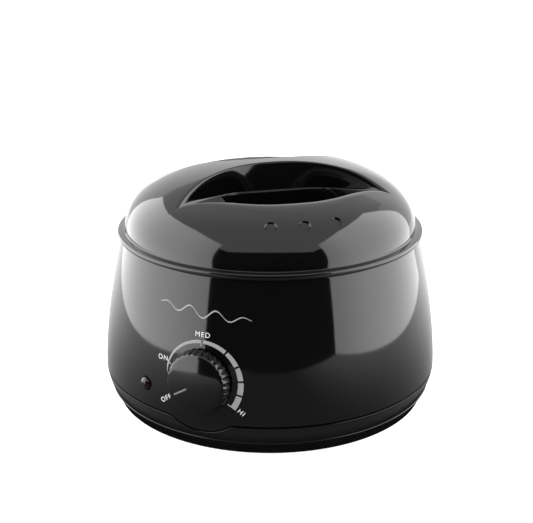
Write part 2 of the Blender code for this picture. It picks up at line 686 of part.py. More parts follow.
def build_pot():
    pot = turned("wax_pot", pot_profile(), "aluminium", steps=ROUND_STEPS)
    hole = stepped([(1.8, 50), (1.8, 70)], 12)
    rivet_holes = [(hole, shift((0, 0, RIVET_Z), (0, side * 90, 0))) for side in (-1, 1)]
    boolean(pot, lofted("pot_holes", rivet_holes))
    place(pot, WARMER)
    for side, word in ((-1, "left"), (1, "right")):
        outline = [(-3.4, 78), (3.4, 78), (5.6, 80.5), (5.6, 88), (4.2, 92.4)]
        outline += [(2, 94.4), (-2, 94.4), (-4.2, 92.4), (-5.6, 88), (-5.6, 80.5)]
        sheet = [[(-z, y, x) for y, z in outline] for x in (-0.55, 0.55)]
        upright = shift((side * 57.9, 0, 0), (0, 90, 0))
        ear = lofted(f"bail_ear_{word}", [(sheet, upright)], "steel")
        cuts = [(stepped([(2.3, -4), (2.3, 4)], 16), shift((side * 58, 0, BAIL_Z), (0, 90, 0)))]
        cuts.append((stepped([(1.8, -4), (1.8, 4)], 12), shift((side * 58, 0, RIVET_Z), (0, 90, 0))))
        boolean(ear, lofted(f"ear_holes_{word}", cuts))
        place(ear, WARMER)
        rivet_profile = [(0, 61.4), (2.4, 60.9), (1.5, 60.8), (1.5, 57.0), (3.0, 57.0), (2.2, 56.0), (0, 55.8)]
        rivet = turned_disc(f"ear_rivet_{word}", rivet_profile, "aluminium", steps=10)
        place(smooth(rivet), WARMER, (0, 0, RIVET_Z), (0, side * 90, 0))

    # Half hoop over the rim, with its ends turned in through the ears.
    hoop = [(56.0, 0, 0), (59.6, 0, 0), (61.2, 0.6, 0), (62.0, 2.2, 0)]
    hoop += [(*polar(BAIL_RADIUS, a)[:2], 0) for a in range(10, 171, 10)]
    hoop += [(-x, y, z) for x, y, z in reversed(hoop[:4])]
    bail = wire("bail_handle", hoop, BAIL_WIRE, "steel", 1)
    place(bail, BAIL_AXIS)


# Lid

def grip_outline(grow, z, count=9):
    """The lens-shaped finger recess in front of the grip, anticlockwise, grown by a margin."""
    back_y, back_r = GRIP_BACK
    back_r += grow
    tip_x = GRIP_TIP + 2.2 * grow
    tip_y = back_y + math.sqrt(back_r**2 - tip_x**2)
    half = math.degrees(math.asin(tip_x / back_r))
    loop = [(x, y + back_y, z) for x, y in arc(back_r, 90 - half, 90 + half, count)]
    steps = [2 * i / (count - 1) - 1 for i in range(1, count - 1)]
    bows = [(1 - abs(share) ** 2.4) ** 2.3 for share in steps]
    reach = tip_y - GRIP_LIP + grow
    return loop + [(share * tip_x, tip_y - reach * bow, z) for share, bow in zip(steps, bows)]


def pocket_outline(grow, z):
    """The deeper middle of the recess, with a straight back edge along the grip."""
    wide, back = POCKET_HALF + grow, -8.6 + grow
    corner_y, cut_y, front_y = -31 - grow, -41 - grow, -44 - grow
    cut = 9
    return [
        (wide, corner_y, z), (wide, back - 2, z), (wide - 2, back, z), (2 - wide, back, z), (-wide, back - 2, z),
        (-wide, corner_y, z), (cut - wide, cut_y, z), (0, front_y, z), (wide - cut, cut_y, z),
    ]


def grip_bodies(grow, mirror):
    """The recess and its pocket as two closed bodies."""
    shelf, floor = GRIP_SHELF_Z - grow, GRIP_FLOOR_Z - grow
    loops = [grip_outline(grow - 2.0, shelf), grip_outline(grow - 0.6, shelf + 1.0)]
    loops += [grip_outline(grow, shelf + 3.0), grip_outline(grow, 134)]
    pocket = [pocket_outline(grow - 2.5, floor), pocket_outline(grow - 0.5, floor + 2)]
    pocket += [pocket_outline(grow, shelf + 0.6)]
    turn = shift((0, 0, 0), (0, 0, 180 if mirror else 0))
    return (loops, turn), (pocket, turn)


def build_lid():
    dome_levels = [94.6, 101, 108, 114, 119, 123, 126, 128.4]
    rim = LID_FLANGE_RADIUS
    outer = [(0, LID_DOME_Z + LID_DOME_HEIGHT)]
    outer += [(dome_radius(z), z) for z in reversed(dome_levels)]
    outer += [(rim - 0.8, LID_DOME_Z - 0.1), (rim, LID_DOME_Z - 0.9), (rim, LID_FLANGE_Z + 0.5)]
    outer += [(rim - 0.5, LID_FLANGE_Z), (73.1, LID_FLANGE_Z), (72.9, 90.0), (0, 90.0)]
    lid = turned_disc("lid", outer, "gloss_black", steps=ROUND_STEPS)

    inner = [(0, LID_DOME_Z + LID_DOME_HEIGHT - LID_WALL)]
    inner += [(dome_radius(z, LID_WALL) - 0.2, z) for z in (125.4, 122, 116, 108)]
    inner += [(71.4, 96), (71.3, 86), (0, 86)]
    hollow = turned_disc("lid_hollow", inner, steps=ROUND_STEPS)
    grips = [grip_bodies(0, mirror) for mirror in (False, True)]
    plugs = [grip_bodies(LID_WALL, mirror) for mirror in (False, True)]
    for side, pair in enumerate(plugs):
        for kind, body in zip(("shelf", "pocket"), pair):
            plug = lofted(f"lid_plug_{kind}_{side}", [body])
            plug.parent = hollow
            boolean(hollow, plug)
    for side, pair in enumerate(grips):
        for kind, body in zip(("shelf", "pocket"), pair):
            cutter = lofted(f"lid_grip_{kind}_{side}", [body])
            cutter.parent = lid
            boolean(lid, cutter)
    boolean(lid, hollow)
    vents = []
    for angle in VENT_ANGLES:
        aim = shift((0, 0, 0), (0, 0, angle)) @ shift((0, -VENT_CIRCLE, VENT_Z), (90 - VENT_RISE, 0, 0))
        vents.append((stepped([(VENT_RADIUS, -VENT_DEPTH), (VENT_RADIUS, 6)], 12), aim))
    vent_cutter = lofted("lid_vents", vents)
    boolean(lid, vent_cutter)
    for cutter in (hollow, vent_cutter):
        cutter.parent = lid
    place(lid, LID_AXIS)


# Wiring

LEADS = {
    "lead_line": ("lead_brown", 0.9, [
        (-10, 53.4, 9.4), (-22, 51, 9.0), (-46, 42, 9.0), (-61, 12, 9.0), (-58, -30, 9.5), (-34, -60, 13),
        (-8, -75, 20), (-6, -76.4, 24.5)]),
    "lead_switched": ("lead_brown", 0.9, [
        (6, -76.4, 24.5), (9, -70, 18), (13, -56, 18.8), (22, -22, 20.6), (22, 6, 22), (14, 14.8, 23),
        (9.9, 15, 23)]),
    "lead_fuse": ("lead_brown", 0.9, [
        (-9.9, 15, 23), (-16, 17, 22.6), (-30, 34, 21.2), (-41.5, 51, 21.4), (-41.6, 49.5, 31.0)]),
    "lead_neutral": ("lead_blue", 0.9, [
        (41.6, 49.5, 31.0), (42, 52, 22), (34, 56, 12), (16.6, 62, 9.6)]),
    "lead_lamp_line": ("lead_brown", 0.7, [
        (-27.5, -67.9, 30.6), (-22, -68.6, 32), (-16, -71.5, 34), (-12.6, -74, 35)]),
    "lead_lamp_neutral": ("lead_blue", 0.7, [
        (-28.1, -66.9, 28.0), (-32, -63.5, 20), (-46, -54, 12.5), (-66, -18, 12), (-66, 22, 12), (-44, 51, 12),
        (-24, 60, 11), (-16.6, 62, 10.4)]),
}


def build_leads():
    for name, (material, radius, points) in LEADS.items():
        lead = wire(name, through(points), radius, material, 1)
        place(lead, WARMER)


build_housing()
build_base()
build_feet_and_base_screws()
build_well()
build_heater()
build_heat_shield()
build_thermostat()
build_knob()
build_indicator()
build_gland()
build_terminal_block()
build_fuse()
build_pot()
build_lid()
build_leads()
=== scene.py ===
"""Looks of a wax warmer pot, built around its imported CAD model.

Shapes are worked out in millimetres in the frame of the CAD model: +Z up, the dial facing -Y.
Meshes are scaled to metres when they are made.
"""

import json
from math import asin, atan, atan2, cos, degrees, pi, radians, sin, sqrt, tan

import bmesh
import bpy
import numpy as np
from mathutils import Matrix, Vector


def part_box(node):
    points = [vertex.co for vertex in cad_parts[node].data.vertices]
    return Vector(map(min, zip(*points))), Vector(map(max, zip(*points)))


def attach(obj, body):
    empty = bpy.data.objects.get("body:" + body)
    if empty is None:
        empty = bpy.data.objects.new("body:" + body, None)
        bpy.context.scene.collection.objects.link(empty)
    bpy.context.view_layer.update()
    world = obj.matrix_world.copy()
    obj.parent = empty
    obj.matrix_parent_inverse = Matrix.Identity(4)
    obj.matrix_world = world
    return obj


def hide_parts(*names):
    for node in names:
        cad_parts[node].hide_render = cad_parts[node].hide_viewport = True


MM = 0.001

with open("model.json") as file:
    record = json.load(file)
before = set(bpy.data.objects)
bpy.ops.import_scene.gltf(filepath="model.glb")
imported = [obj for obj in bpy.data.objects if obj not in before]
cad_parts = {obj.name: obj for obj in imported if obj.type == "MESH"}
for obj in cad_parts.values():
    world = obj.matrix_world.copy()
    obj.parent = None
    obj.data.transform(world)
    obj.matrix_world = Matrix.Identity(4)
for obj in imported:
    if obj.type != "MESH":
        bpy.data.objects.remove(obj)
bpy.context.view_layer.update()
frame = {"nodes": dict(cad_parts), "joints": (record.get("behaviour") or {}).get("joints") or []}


def box(node):
    """Lowest and highest corner of a CAD node in millimetres."""
    low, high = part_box(node)
    return low / MM, high / MM


def joint(name):
    return next(j for j in frame["joints"] if j["name"] == name)


# Housing and base
HOUSING_LOW, HOUSING_HIGH = box("upper_housing")
BASE_LOW, BASE_HIGH = box("base_pan")
MAX_RADIUS = HOUSING_HIGH.x
TOP_Z = HOUSING_HIGH.z
TOP_RADIUS = MAX_RADIUS - 10.9
SEAM_Z = 19.2
SEAM_GAP = 0.3
EASED_EDGE = ((0.14, 0.0), (0.04, 0.04), (0.0, 0.14))
WALL = 2.4
LEDGE_Z = 8.8
POST_CIRCLE = 79.0
POST_ANGLES = (30, 150, 210, 330)
FOOT_CIRCLE = 68.0
FOOT_ANGLES = (45, 135, 225, 315)
WELL_SCREW_CIRCLE = 70.2
STUD_CIRCLE = 40.0
THIRDS = (90, 210, 330)
GLAND_Z = sum(end.z for end in box("cord_gland")) / 2
RIVET_Z = 82.0
BAIL_Z = joint("bail_swing")["pos_m"][2] / MM

# Dial
DIAL_PLACE = Vector(joint("knob_turn")["pos_m"]) / MM
DIAL_INWARD = Vector(joint("knob_turn")["axis"]).normalized()
DIAL_TILT = atan2(-DIAL_INWARD.z, DIAL_INWARD.y)
LOBE_RADIUS = DIAL_PLACE.z - HOUSING_LOW.z
KNOB_RADIUS = 16.4
KNOB_RIBS = 30
KNOB_DEPTH = 7.2
SOCKET_DEPTH = 5.9
FACE_CURVE = 104.0
OFF_ANGLE = 211
INDICATOR_TURN = -21.5
INDICATOR_Z = 31.1
PRINT_LOW, PRINT_HIGH = 0.01, 0.05
SCALE_INNER = 19.0
SCALE_START, SCALE_END = 179.0, -35.0
SCALE_GAPS = (90, 52, 27, 6, -14)
SCALE_HALF_GAP = 1.4

# Lid
LID_LOW, LID_HIGH = box("lid")
LID_TURN = 36.9
FLANGE_RADIUS = LID_HIGH.x
DOME_RADIUS = 77.5
DOME_HEIGHT = 35.0
DOME_Z = LID_HIGH.z - DOME_HEIGHT
DOME_POWER = 2.45
LID_WALL = 2.4
GRIP_BACK = (-76.3, 71.9)
GRIP_TIP = 55.0
GRIP_LIP = -48.5
FRONT_SCOOP, REAR_SCOOP = 1.6, 3.5
SHELF_Z = 115.0
FLOOR_Z = 104.6
VENT_RADIUS = 2.75
VENT_CIRCLE = 66.5
VENT_Z = 114.1
VENT_ANGLES = (-14.3, 0, 14.3)
VENT_RISE = 51.6
VENT_DEPTH = 1.4
VENT_CHAMFER = 0.7
LEDGE_BACK_Y = -7.7
PORT_HALF = 27.0
ARC_COLUMNS = 64
SIDE_COLUMNS = 10
PATCH_RADIUS = 72.0
TIP_ANGLE = 24.0

# Camera
VIEW_AZIMUTH = 22.4
VIEW_ELEVATION = 19.36
VIEW_DISTANCE = 0.6171
VIEW_AIM = Vector((0, 0, 0.074))
VIEW_LENS = 76.9
VIEW_SHIFT = (-0.0068, -0.0039)
VIEW_TURN = Matrix.Rotation(radians(VIEW_AZIMUTH), 4, "Z")


def housing_radius(z):
    """Outer radius of the housing, and of the base where z is under the seam."""
    z = np.asarray(z, float)
    up = np.clip((z - SEAM_Z) / (TOP_Z - SEAM_Z), 0, None)
    down = np.clip((SEAM_Z - z) / (SEAM_Z - LEDGE_Z), 0, 1)
    return MAX_RADIUS - (MAX_RADIUS - TOP_RADIUS) * up**1.65 - 2.9 * down**1.5


def dome_height(x, y, inset=0.0):
    """Height of the lid's dome over a point, for the surface that lies inset below the outer one."""
    share = np.clip(np.hypot(x, y) / (DOME_RADIUS - inset), 0, 1)
    return DOME_Z + (DOME_HEIGHT - inset) * np.sqrt(1 - share**DOME_POWER)


# Mesh tools


def link(name, mesh):
    piece = bpy.data.objects.new(name, mesh)
    bpy.context.scene.collection.objects.link(piece)
    return piece


def sheet_faces(rows, columns, closed=True):
    """Quads between rows of points. closed joins the last column to the first."""
    faces = []
    for r in range(rows - 1):
        for c in range(columns if closed else columns - 1):
            d = (c + 1) % columns
            faces.append((r * columns + c, r * columns + d, (r + 1) * columns + d, (r + 1) * columns + c))
    return faces


def solid(name, blocks, matrix=None, weld=0.002):
    """An object from (points, faces) blocks in millimetres, welded where they meet."""
    bm = bmesh.new()
    for points, faces in blocks:
        verts = [bm.verts.new(Vector(p) * MM) for p in points]
        for face in faces:
            if len(set(face)) > 2:
                bm.faces.new([verts[i] for i in face])
    bmesh.ops.remove_doubles(bm, verts=bm.verts, dist=weld * MM)
    bmesh.ops.recalc_face_normals(bm, faces=bm.faces)
    mesh = bpy.data.meshes.new(name)
    bm.to_mesh(mesh)
    bm.free()
    if matrix is not None:
        mesh.transform(matrix)
    return link(name, mesh)


def moved(place=(0, 0, 0), axis="Z", degrees=0.0):
    """A turn about one axis, then a move in millimetres, as a matrix in metres."""
    return Matrix.Translation(Vector(place) * MM) @ Matrix.Rotation(radians(degrees), 4, axis)


def on_circle(radius, angle):
    """A move to a spot on a circle round the object's axis."""
    turn = radians(angle)
    return moved((radius * cos(turn), radius * sin(turn), 0))


def over_node(name, z=0.0):
    """A move to the middle of a CAD node in plan, at a height."""
    low, high = box(name)
    return moved(((low.x + high.x) / 2, (low.y + high.y) / 2, z))


def frame_at(place, across, up):
    """A matrix whose Z is across x up, set at a place in millimetres."""
    across, up = Vector(across).normalized(), Vector(up).normalized()
    out = across.cross(up)
    turn = Matrix((across, up, out)).transposed().to_4x4()
    return Matrix.Translation(Vector(place) * MM) @ turn


def facing(turn, rise):
    """The direction at a turn from the dial's side and a rise from level, both in radians."""
    return Vector((sin(turn) * cos(rise), -cos(turn) * cos(rise), sin(rise)))


def unit_rows(rows):
    return rows / np.linalg.norm(rows, axis=1)[:, None]


def level_frame(z, across):
    """A frame on the object's axis at a height, whose Z lies flat."""
    return frame_at((0, 0, z), across, (0, 0, 1))


def bend(start, corner, end, t):
    """A point on the curve from start to end that a corner pulls towards itself."""
    return (1 - t) ** 2 * start + 2 * t * (1 - t) * corner + t * t * end


def flat(plan, z):
    """Plan points at one height, or each at its own."""
    return np.column_stack([plan, np.broadcast_to(z, len(plan))])


def rounded(corners, steps=4, closed=True):
    """A profile with each (x, y, radius) corner rounded off."""
    points = []
    last = len(corners) - 1
    for i, (x, y, radius) in enumerate(corners):
        here = Vector((x, y))
        if radius <= 0 or (not closed and i in (0, last)):
            points.append(tuple(here))
            continue
        before = Vector(corners[i - 1][:2]) - here
        after = Vector(corners[(i + 1) % len(corners)][:2]) - here
        half = before.angle(after) / 2
        reach = min(radius / tan(half), 0.49 * before.length, 0.49 * after.length)
        start, end = here + before.normalized() * reach, here + after.normalized() * reach
        points += [tuple(bend(start, here, end, k / steps)) for k in range(steps + 1)]
    return points


def turned(name, profile, steps=128, matrix=None, closed=True):
    """A turned solid from a (radius, height) profile. An open one starts and ends on the axis."""
    rows = [ring(r, z, steps) for r, z in profile]
    if closed:
        rows.append(rows[0])
    return solid(name, [(np.vstack(rows), sheet_faces(len(rows), steps))], matrix)


def stack(loops):
    """A closed block through loops of equal count."""
    count = len(loops[0])
    faces = sheet_faces(len(loops), count)
    faces.append(tuple(range(count)))
    faces.append(tuple(range((len(loops) - 1) * count, len(loops) * count)))
    return np.vstack(loops), faces


def ring(radius, z, count=48):
    turns = np.arange(count) * 2 * pi / count
    return np.column_stack([radius * np.cos(turns), radius * np.sin(turns), np.full(count, float(z))])


def placed(block, matrix):
    """A block moved by a matrix in metres."""
    points, faces = block
    if matrix is None:
        return block
    return np.array([matrix @ (Vector(p) * MM) / MM for p in points]), faces


def rod(levels, matrix=None, count=48):
    """A round block from (radius, height) levels, placed by a matrix in metres."""
    return placed(stack([ring(r, z, count) for r, z in levels]), matrix)


def slot_ring(length, width, z, ends=10):
    """An outline with round ends, long along X."""
    reach = (length - width) / 2
    right = np.radians(np.linspace(-90, 90, ends))
    left = np.radians(np.linspace(90, 270, ends))
    x = np.concatenate([reach + width / 2 * np.cos(right), -reach + width / 2 * np.cos(left)])
    y = np.concatenate([width / 2 * np.sin(right), width / 2 * np.sin(left)])
    return np.column_stack([x, y, np.full(len(x), float(z))])


def slot_block(length, width, low, high, matrix=None):
    return placed(stack([slot_ring(length, width, z) for z in (low, high)]), matrix)


def carve(piece, blocks, operation="DIFFERENCE"):
    """Cuts blocks out of a piece, or joins them to it."""
    tool = solid("tool", blocks)
    change = piece.modifiers.new("carve", "BOOLEAN")
    change.operation = operation
    change.object = tool
    change.solver = "EXACT"
    bpy.context.view_layer.update()
    evaluated = piece.evaluated_get(bpy.context.evaluated_depsgraph_get())
    mesh = bpy.data.meshes.new_from_object(evaluated)
    piece.modifiers.clear()
    piece.data = mesh
    bpy.data.objects.remove(tool)
    return piece


def shade(piece, degrees=32, normal_at=None):
    """Smooth shading with sharp edges. normal_at gives true normals for points on a known surface."""
    mesh = piece.data
    mesh.shade_smooth()
    mesh.set_sharp_from_angle(angle=radians(degrees))
    if normal_at is None:
        return piece
    points = np.zeros(len(mesh.vertices) * 3)
    mesh.vertices.foreach_get("co", points)
    true, known = normal_at(points.reshape(-1, 3) / MM)
    corners = np.zeros(len(mesh.loops), int)
    mesh.loops.foreach_get("vertex_index", corners)
    faces = np.zeros(len(mesh.polygons) * 3)
    mesh.polygons.foreach_get("normal", faces)
    sizes = [len(p.vertices) for p in mesh.polygons]
    of_face = np.repeat(faces.reshape(-1, 3), sizes, axis=0)
    wanted = true[corners]
    near = known[corners] & ((wanted * of_face).sum(1) > cos(radians(20)))
    wanted[~near] = 0
    mesh.normals_split_custom_set([tuple(n) for n in wanted])
    return piece


def piece_of(piece, material, body, slot, *nodes):
    """Gives a piece its material and its body, and hides the nodes it stands for. slot is not used."""
    piece.data.materials.clear()
    piece.data.materials.append(material)
    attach(piece, body)
    if nodes:
        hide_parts(*nodes)
    return piece


# Materials


def new_material(name, clear=False):
    """A new material and its node tree, emptied if asked."""
    made = bpy.data.materials.new(name)
    made.use_nodes = True
    if clear:
        made.node_tree.nodes.clear()
    return made, made.node_tree


def add_node(tree, kind, sources=None, **values):
    """A node with sockets linked from sources by name or number, and others set to values."""
    made = tree.nodes.new(kind)
    for socket, source in (sources or {}).items():
        tree.links.new(source, made.inputs[socket])
    for socket, value in values.items():
        made.inputs[socket.replace("_", " ")].default_value = value
    return made


def map_range(tree, source, low, high, start, end, smooth=False):
    """A socket whose values run from start to end as the source's run from low to high."""
    limits = {"From_Min": low, "From_Max": high, "To_Min": start, "To_Max": end}
    made = add_node(tree, "ShaderNodeMapRange", {"Value": source}, **limits)
    if smooth:
        made.interpolation_type = "SMOOTHSTEP"
    return made.outputs["Result"]


def math_node(tree, operation, *terms, clamp=False):
    """The result of a maths node whose terms are sockets or numbers."""
    made = tree.nodes.new("ShaderNodeMath")
    made.operation = operation
    made.use_clamp = clamp
    for socket, term in zip(made.inputs, terms):
        if isinstance(term, float):
            socket.default_value = term
        else:
            tree.links.new(term, socket)
    return made.outputs[0]


def surface(name, colour, tint=None, rough=(0.3, 0.4), metallic=0.0, grain=(300, 60), stretch=(1, 1, 1),
            bump=0.02, wave=0.0, wear=0.3, worn=None, coat=0.0, sheen=0.0, kind="NOISE"):
    """A procedural finish: uneven colour and roughness, fine relief, slow waviness and lighter sharp edges:
    rubbed wear on most finishes, a painted highlight on the satin base.
    """
    made, tree = new_material(name)
    shader = tree.nodes["Principled BSDF"]
    uniform = {"Metallic": metallic, "Coat Weight": coat, "Coat Roughness": 0.05, "Sheen Weight": sheen,
               "IOR": 1.5}
    for socket, value in uniform.items():
        shader.inputs[socket].default_value = value

    place = tree.nodes.new("ShaderNodeTexCoord").outputs["Object"]
    mapped = add_node(tree, "ShaderNodeMapping", {"Vector": place}, Scale=stretch).outputs["Vector"]
    fine_scale, broad_scale = grain
    pattern, settings, output = {
        "NOISE": ("ShaderNodeTexNoise", {"Detail": 6.0}, 0),
        "WEAVE": ("ShaderNodeTexWave", {"Distortion": 2.0, "Detail": 3.0}, 0),
        "CELLS": ("ShaderNodeTexVoronoi", {}, "Distance"),
    }[kind]
    fine = add_node(tree, pattern, {"Vector": mapped}, Scale=fine_scale, **settings).outputs[output]
    broad = add_node(tree, "ShaderNodeTexNoise", {"Vector": place}, Scale=broad_scale, Detail=4.0).outputs[0]

    edge = tree.nodes.new("ShaderNodeNewGeometry").outputs["Pointiness"]
    # Sharp edges, found by pointiness, get a lighter colour: rubbed wear on most finishes, and on the satin
    # base a painted highlight along the ledge.
    edge_wear_and_highlight_mask = math_node(tree, "MULTIPLY", map_range(tree, edge, 0.56, 0.7, 0.0, wear), broad)
    paint = add_node(tree, "ShaderNodeMixRGB", {0: broad})
    paint.inputs[1].default_value = (*colour, 1)
    paint.inputs[2].default_value = (*(tint or [c * 1.25 for c in colour]), 1)
    edged = add_node(tree, "ShaderNodeMixRGB", {0: edge_wear_and_highlight_mask, 1: paint.outputs[0]})
    edged.inputs[2].default_value = (*(worn or [min(c * 1.6 + 0.002, 1) for c in colour]), 1)
    tree.links.new(edged.outputs[0], shader.inputs["Base Color"])

    uneven = map_range(tree, broad, 0.3, 0.7, *rough)
    scuffed = math_node(tree, "ADD", uneven, math_node(tree, "MULTIPLY", edge_wear_and_highlight_mask, 0.25), clamp=True)
    tree.links.new(scuffed, shader.inputs["Roughness"])

    relief = add_node(tree, "ShaderNodeBump", {"Height": fine}, Strength=1.0, Distance=bump * MM)
    if wave:
        swell = add_node(tree, "ShaderNodeTexNoise", {"Vector": place}, Scale=45.0, Detail=1.0).outputs[0]
        slow = add_node(tree, "ShaderNodeBump", {"Height": swell}, Strength=1.0, Distance=wave * MM)
        tree.links.new(slow.outputs["Normal"], relief.inputs["Normal"])
    tree.links.new(relief.outputs["Normal"], shader.inputs["Normal"])
    return made


def metal(name, colour, tint, **look):
    return surface(name, colour, tint, metallic=1.0, **look)


def grey(value):
    return (value, value, value)


BLACK = (0.0016, 0.0016, 0.0017)
GLOSS = {"grain": (900, 35), "bump": 0.0006, "wear": 0.5}
PRINT = {"rough": (0.35, 0.5), "grain": (2500, 300), "bump": 0.004}
LEAD = {"rough": (0.4, 0.55), "grain": (2000, 150)}

GLOSS_HOUSING = surface("gloss_housing", BLACK, rough=(0.05, 0.085), wave=0.02, **GLOSS)
GLOSS_LID = surface("gloss_lid", BLACK, rough=(0.05, 0.09), wave=0.014, **GLOSS)
# The satin base's lighter sharp edges are a painted highlight that stands in for the light line along the
# ledge.
SATIN_BASE = surface("satin_base", (0.002, 0.002, 0.0021), rough=(0.1, 0.16), grain=(2600, 50), bump=0.002,
                     wear=1.0, worn=grey(0.05))
GLOSS_KNOB = surface("gloss_knob", BLACK, rough=(0.06, 0.1), grain=(1200, 90), bump=0.0006, wave=0.006,
                     wear=0.6)
PRINT_WHITE = surface("print_white", grey(0.2), grey(0.24), **PRINT)
LEGEND_WHITE = surface("legend_white", grey(0.7), grey(0.8), **PRINT)
POINTER_WHITE = surface("pointer_white", grey(0.09), grey(0.12), rough=(0.3, 0.45), grain=(2500, 300))
SMOKED_LENS = surface("smoked_lens", (0.004, 0.001, 0.001), (0.008, 0.002, 0.002), rough=(0.08, 0.14),
                      grain=(1500, 200), bump=0.0008)
LAMP_GLASS = surface("lamp_glass", (0.55, 0.24, 0.12), (0.7, 0.4, 0.25), rough=(0.05, 0.12), grain=(900, 200),
                     coat=0.5)
GLAND_BLACK = surface("gland_black", grey(0.006), rough=(0.35, 0.5), grain=(2400, 120), bump=0.01)
RUBBER = surface("foot_rubber", (0.02, 0.02, 0.021), grey(0.035), rough=(0.7, 0.9), grain=(3500, 200),
                 bump=0.03, sheen=0.2)
SCREW_STEEL = metal("screw_steel", (0.5, 0.5, 0.51), grey(0.62), rough=(0.22, 0.42), grain=(2500, 300),
                    stretch=(1, 1, 3), bump=0.01, wear=0.6, worn=grey(0.8))
BAIL_STEEL = metal("bail_steel", (0.58, 0.58, 0.59), grey(0.7), rough=(0.12, 0.28), grain=(1800, 120),
                   stretch=(0.2, 1, 1), bump=0.006, worn=grey(0.85))
SPINDLE_BRASS = metal("spindle_brass", (0.72, 0.5, 0.2), (0.82, 0.62, 0.3), rough=(0.2, 0.35),
                      grain=(2500, 200), bump=0.008)
POT_ALUMINIUM = metal("pot_aluminium", (0.68, 0.68, 0.69), grey(0.8), rough=(0.18, 0.34), grain=(900, 60),
                      stretch=(0.15, 0.15, 6), bump=0.012, wear=0.5, worn=grey(0.9))
WELL_ALUMINIUM = metal("well_aluminium", (0.55, 0.55, 0.56), grey(0.68), rough=(0.28, 0.5), grain=(700, 50),
                       stretch=(0.3, 0.3, 5), bump=0.015, wear=0.5, worn=grey(0.8))
RIVET_ALUMINIUM = metal("rivet_aluminium", (0.7, 0.7, 0.71), grey(0.8), rough=(0.3, 0.45),
                        grain=(2500, 300), bump=0.012)
SILICONE = surface("seal_silicone", (0.42, 0.06, 0.04), (0.5, 0.1, 0.07), rough=(0.55, 0.7),
                   grain=(1800, 150), bump=0.01)
MICA = surface("band_mica", (0.35, 0.3, 0.22), (0.52, 0.46, 0.36), rough=(0.3, 0.6), grain=(500, 120),
               bump=0.03, kind="CELLS")
FIBRE = surface("wrap_fibre", (0.6, 0.58, 0.52), (0.75, 0.73, 0.68), rough=(0.85, 0.95), grain=(420, 120),
                bump=0.15, sheen=0.4, kind="WEAVE")
CERAMIC = surface("ceramic", (0.68, 0.65, 0.58), (0.76, 0.73, 0.67), rough=(0.4, 0.6), grain=(1500, 120))
TERMINAL = surface("terminal_plastic", (0.6, 0.58, 0.52), (0.68, 0.66, 0.6), rough=(0.4, 0.55),
                   grain=(1600, 100), bump=0.01)
LEAD_BROWN = surface("lead_brown", (0.09, 0.035, 0.015), (0.13, 0.05, 0.02), **LEAD)
LEAD_BLUE = surface("lead_blue", (0.015, 0.05, 0.22), (0.02, 0.07, 0.3), **LEAD)


# Housing and base shells


def columns():
    """Angles from the dial's side, close together where the lobe under the dial is."""
    near = np.arange(-16, 16, 0.5)
    far = np.arange(16, 344, 2)
    return np.radians(np.concatenate([near, far]))


TURNS = columns()
ACROSS, BACK = np.sin(TURNS), -np.cos(TURNS)


def soft_min(a, b, blend):
    share = np.clip(blend - np.abs(a - b), 0, None) / blend
    return np.minimum(a, b) - share**2 * blend / 4


def lower_edge(level, radius):
    """Height of the parting line: level, but down round the lobe, with a soft left end."""
    x = MAX_RADIUS * ACROSS
    inside = (np.abs(x) < radius) & (BACK < 0)
    arc = np.where(inside, DIAL_PLACE.z - np.sqrt(np.clip(radius**2 - x**2, 0, None)), 1000.0)
    return np.where(x < 0, soft_min(level, arc, 3.0), soft_min(level, arc, 0.8))


def round_row(radius, z):
    radius, z = np.broadcast_to(radius, TURNS.shape), np.broadcast_to(z, TURNS.shape)
    return np.column_stack([radius * ACROSS, radius * BACK, z])


def wall_normals(points):
    """Normals of the housing's and the base's curved side."""
    radius = np.hypot(points[:, 0], points[:, 1])
    z = points[:, 2]
    slope = (housing_radius(z - 0.05) - housing_radius(z + 0.05)) / 0.1
    out = points[:, :2] / np.maximum(radius, 1e-6)[:, None]
    normals = unit_rows(flat(out, slope))
    known = (np.abs(radius - housing_radius(z)) < 0.02) & (z > LEDGE_Z + 0.5) & (z < TOP_Z - 1)
    return normals, known


def dial_frame():
    return frame_at(DIAL_PLACE, (1, 0, 0), (0, sin(DIAL_TILT), cos(DIAL_TILT)))


def wall_frame(degrees, z):
    """A frame on the housing's side whose Z points out of it."""
    turn = Matrix.Rotation(radians(degrees), 3, "Z")
    slope = atan(float(housing_radius(z - 0.5) - housing_radius(z + 0.5)))
    place = turn @ Vector((0, -float(housing_radius(z)), z))
    return frame_at(place, turn @ Vector((1, 0, 0)), turn @ Vector((0, sin(slope), cos(slope))))


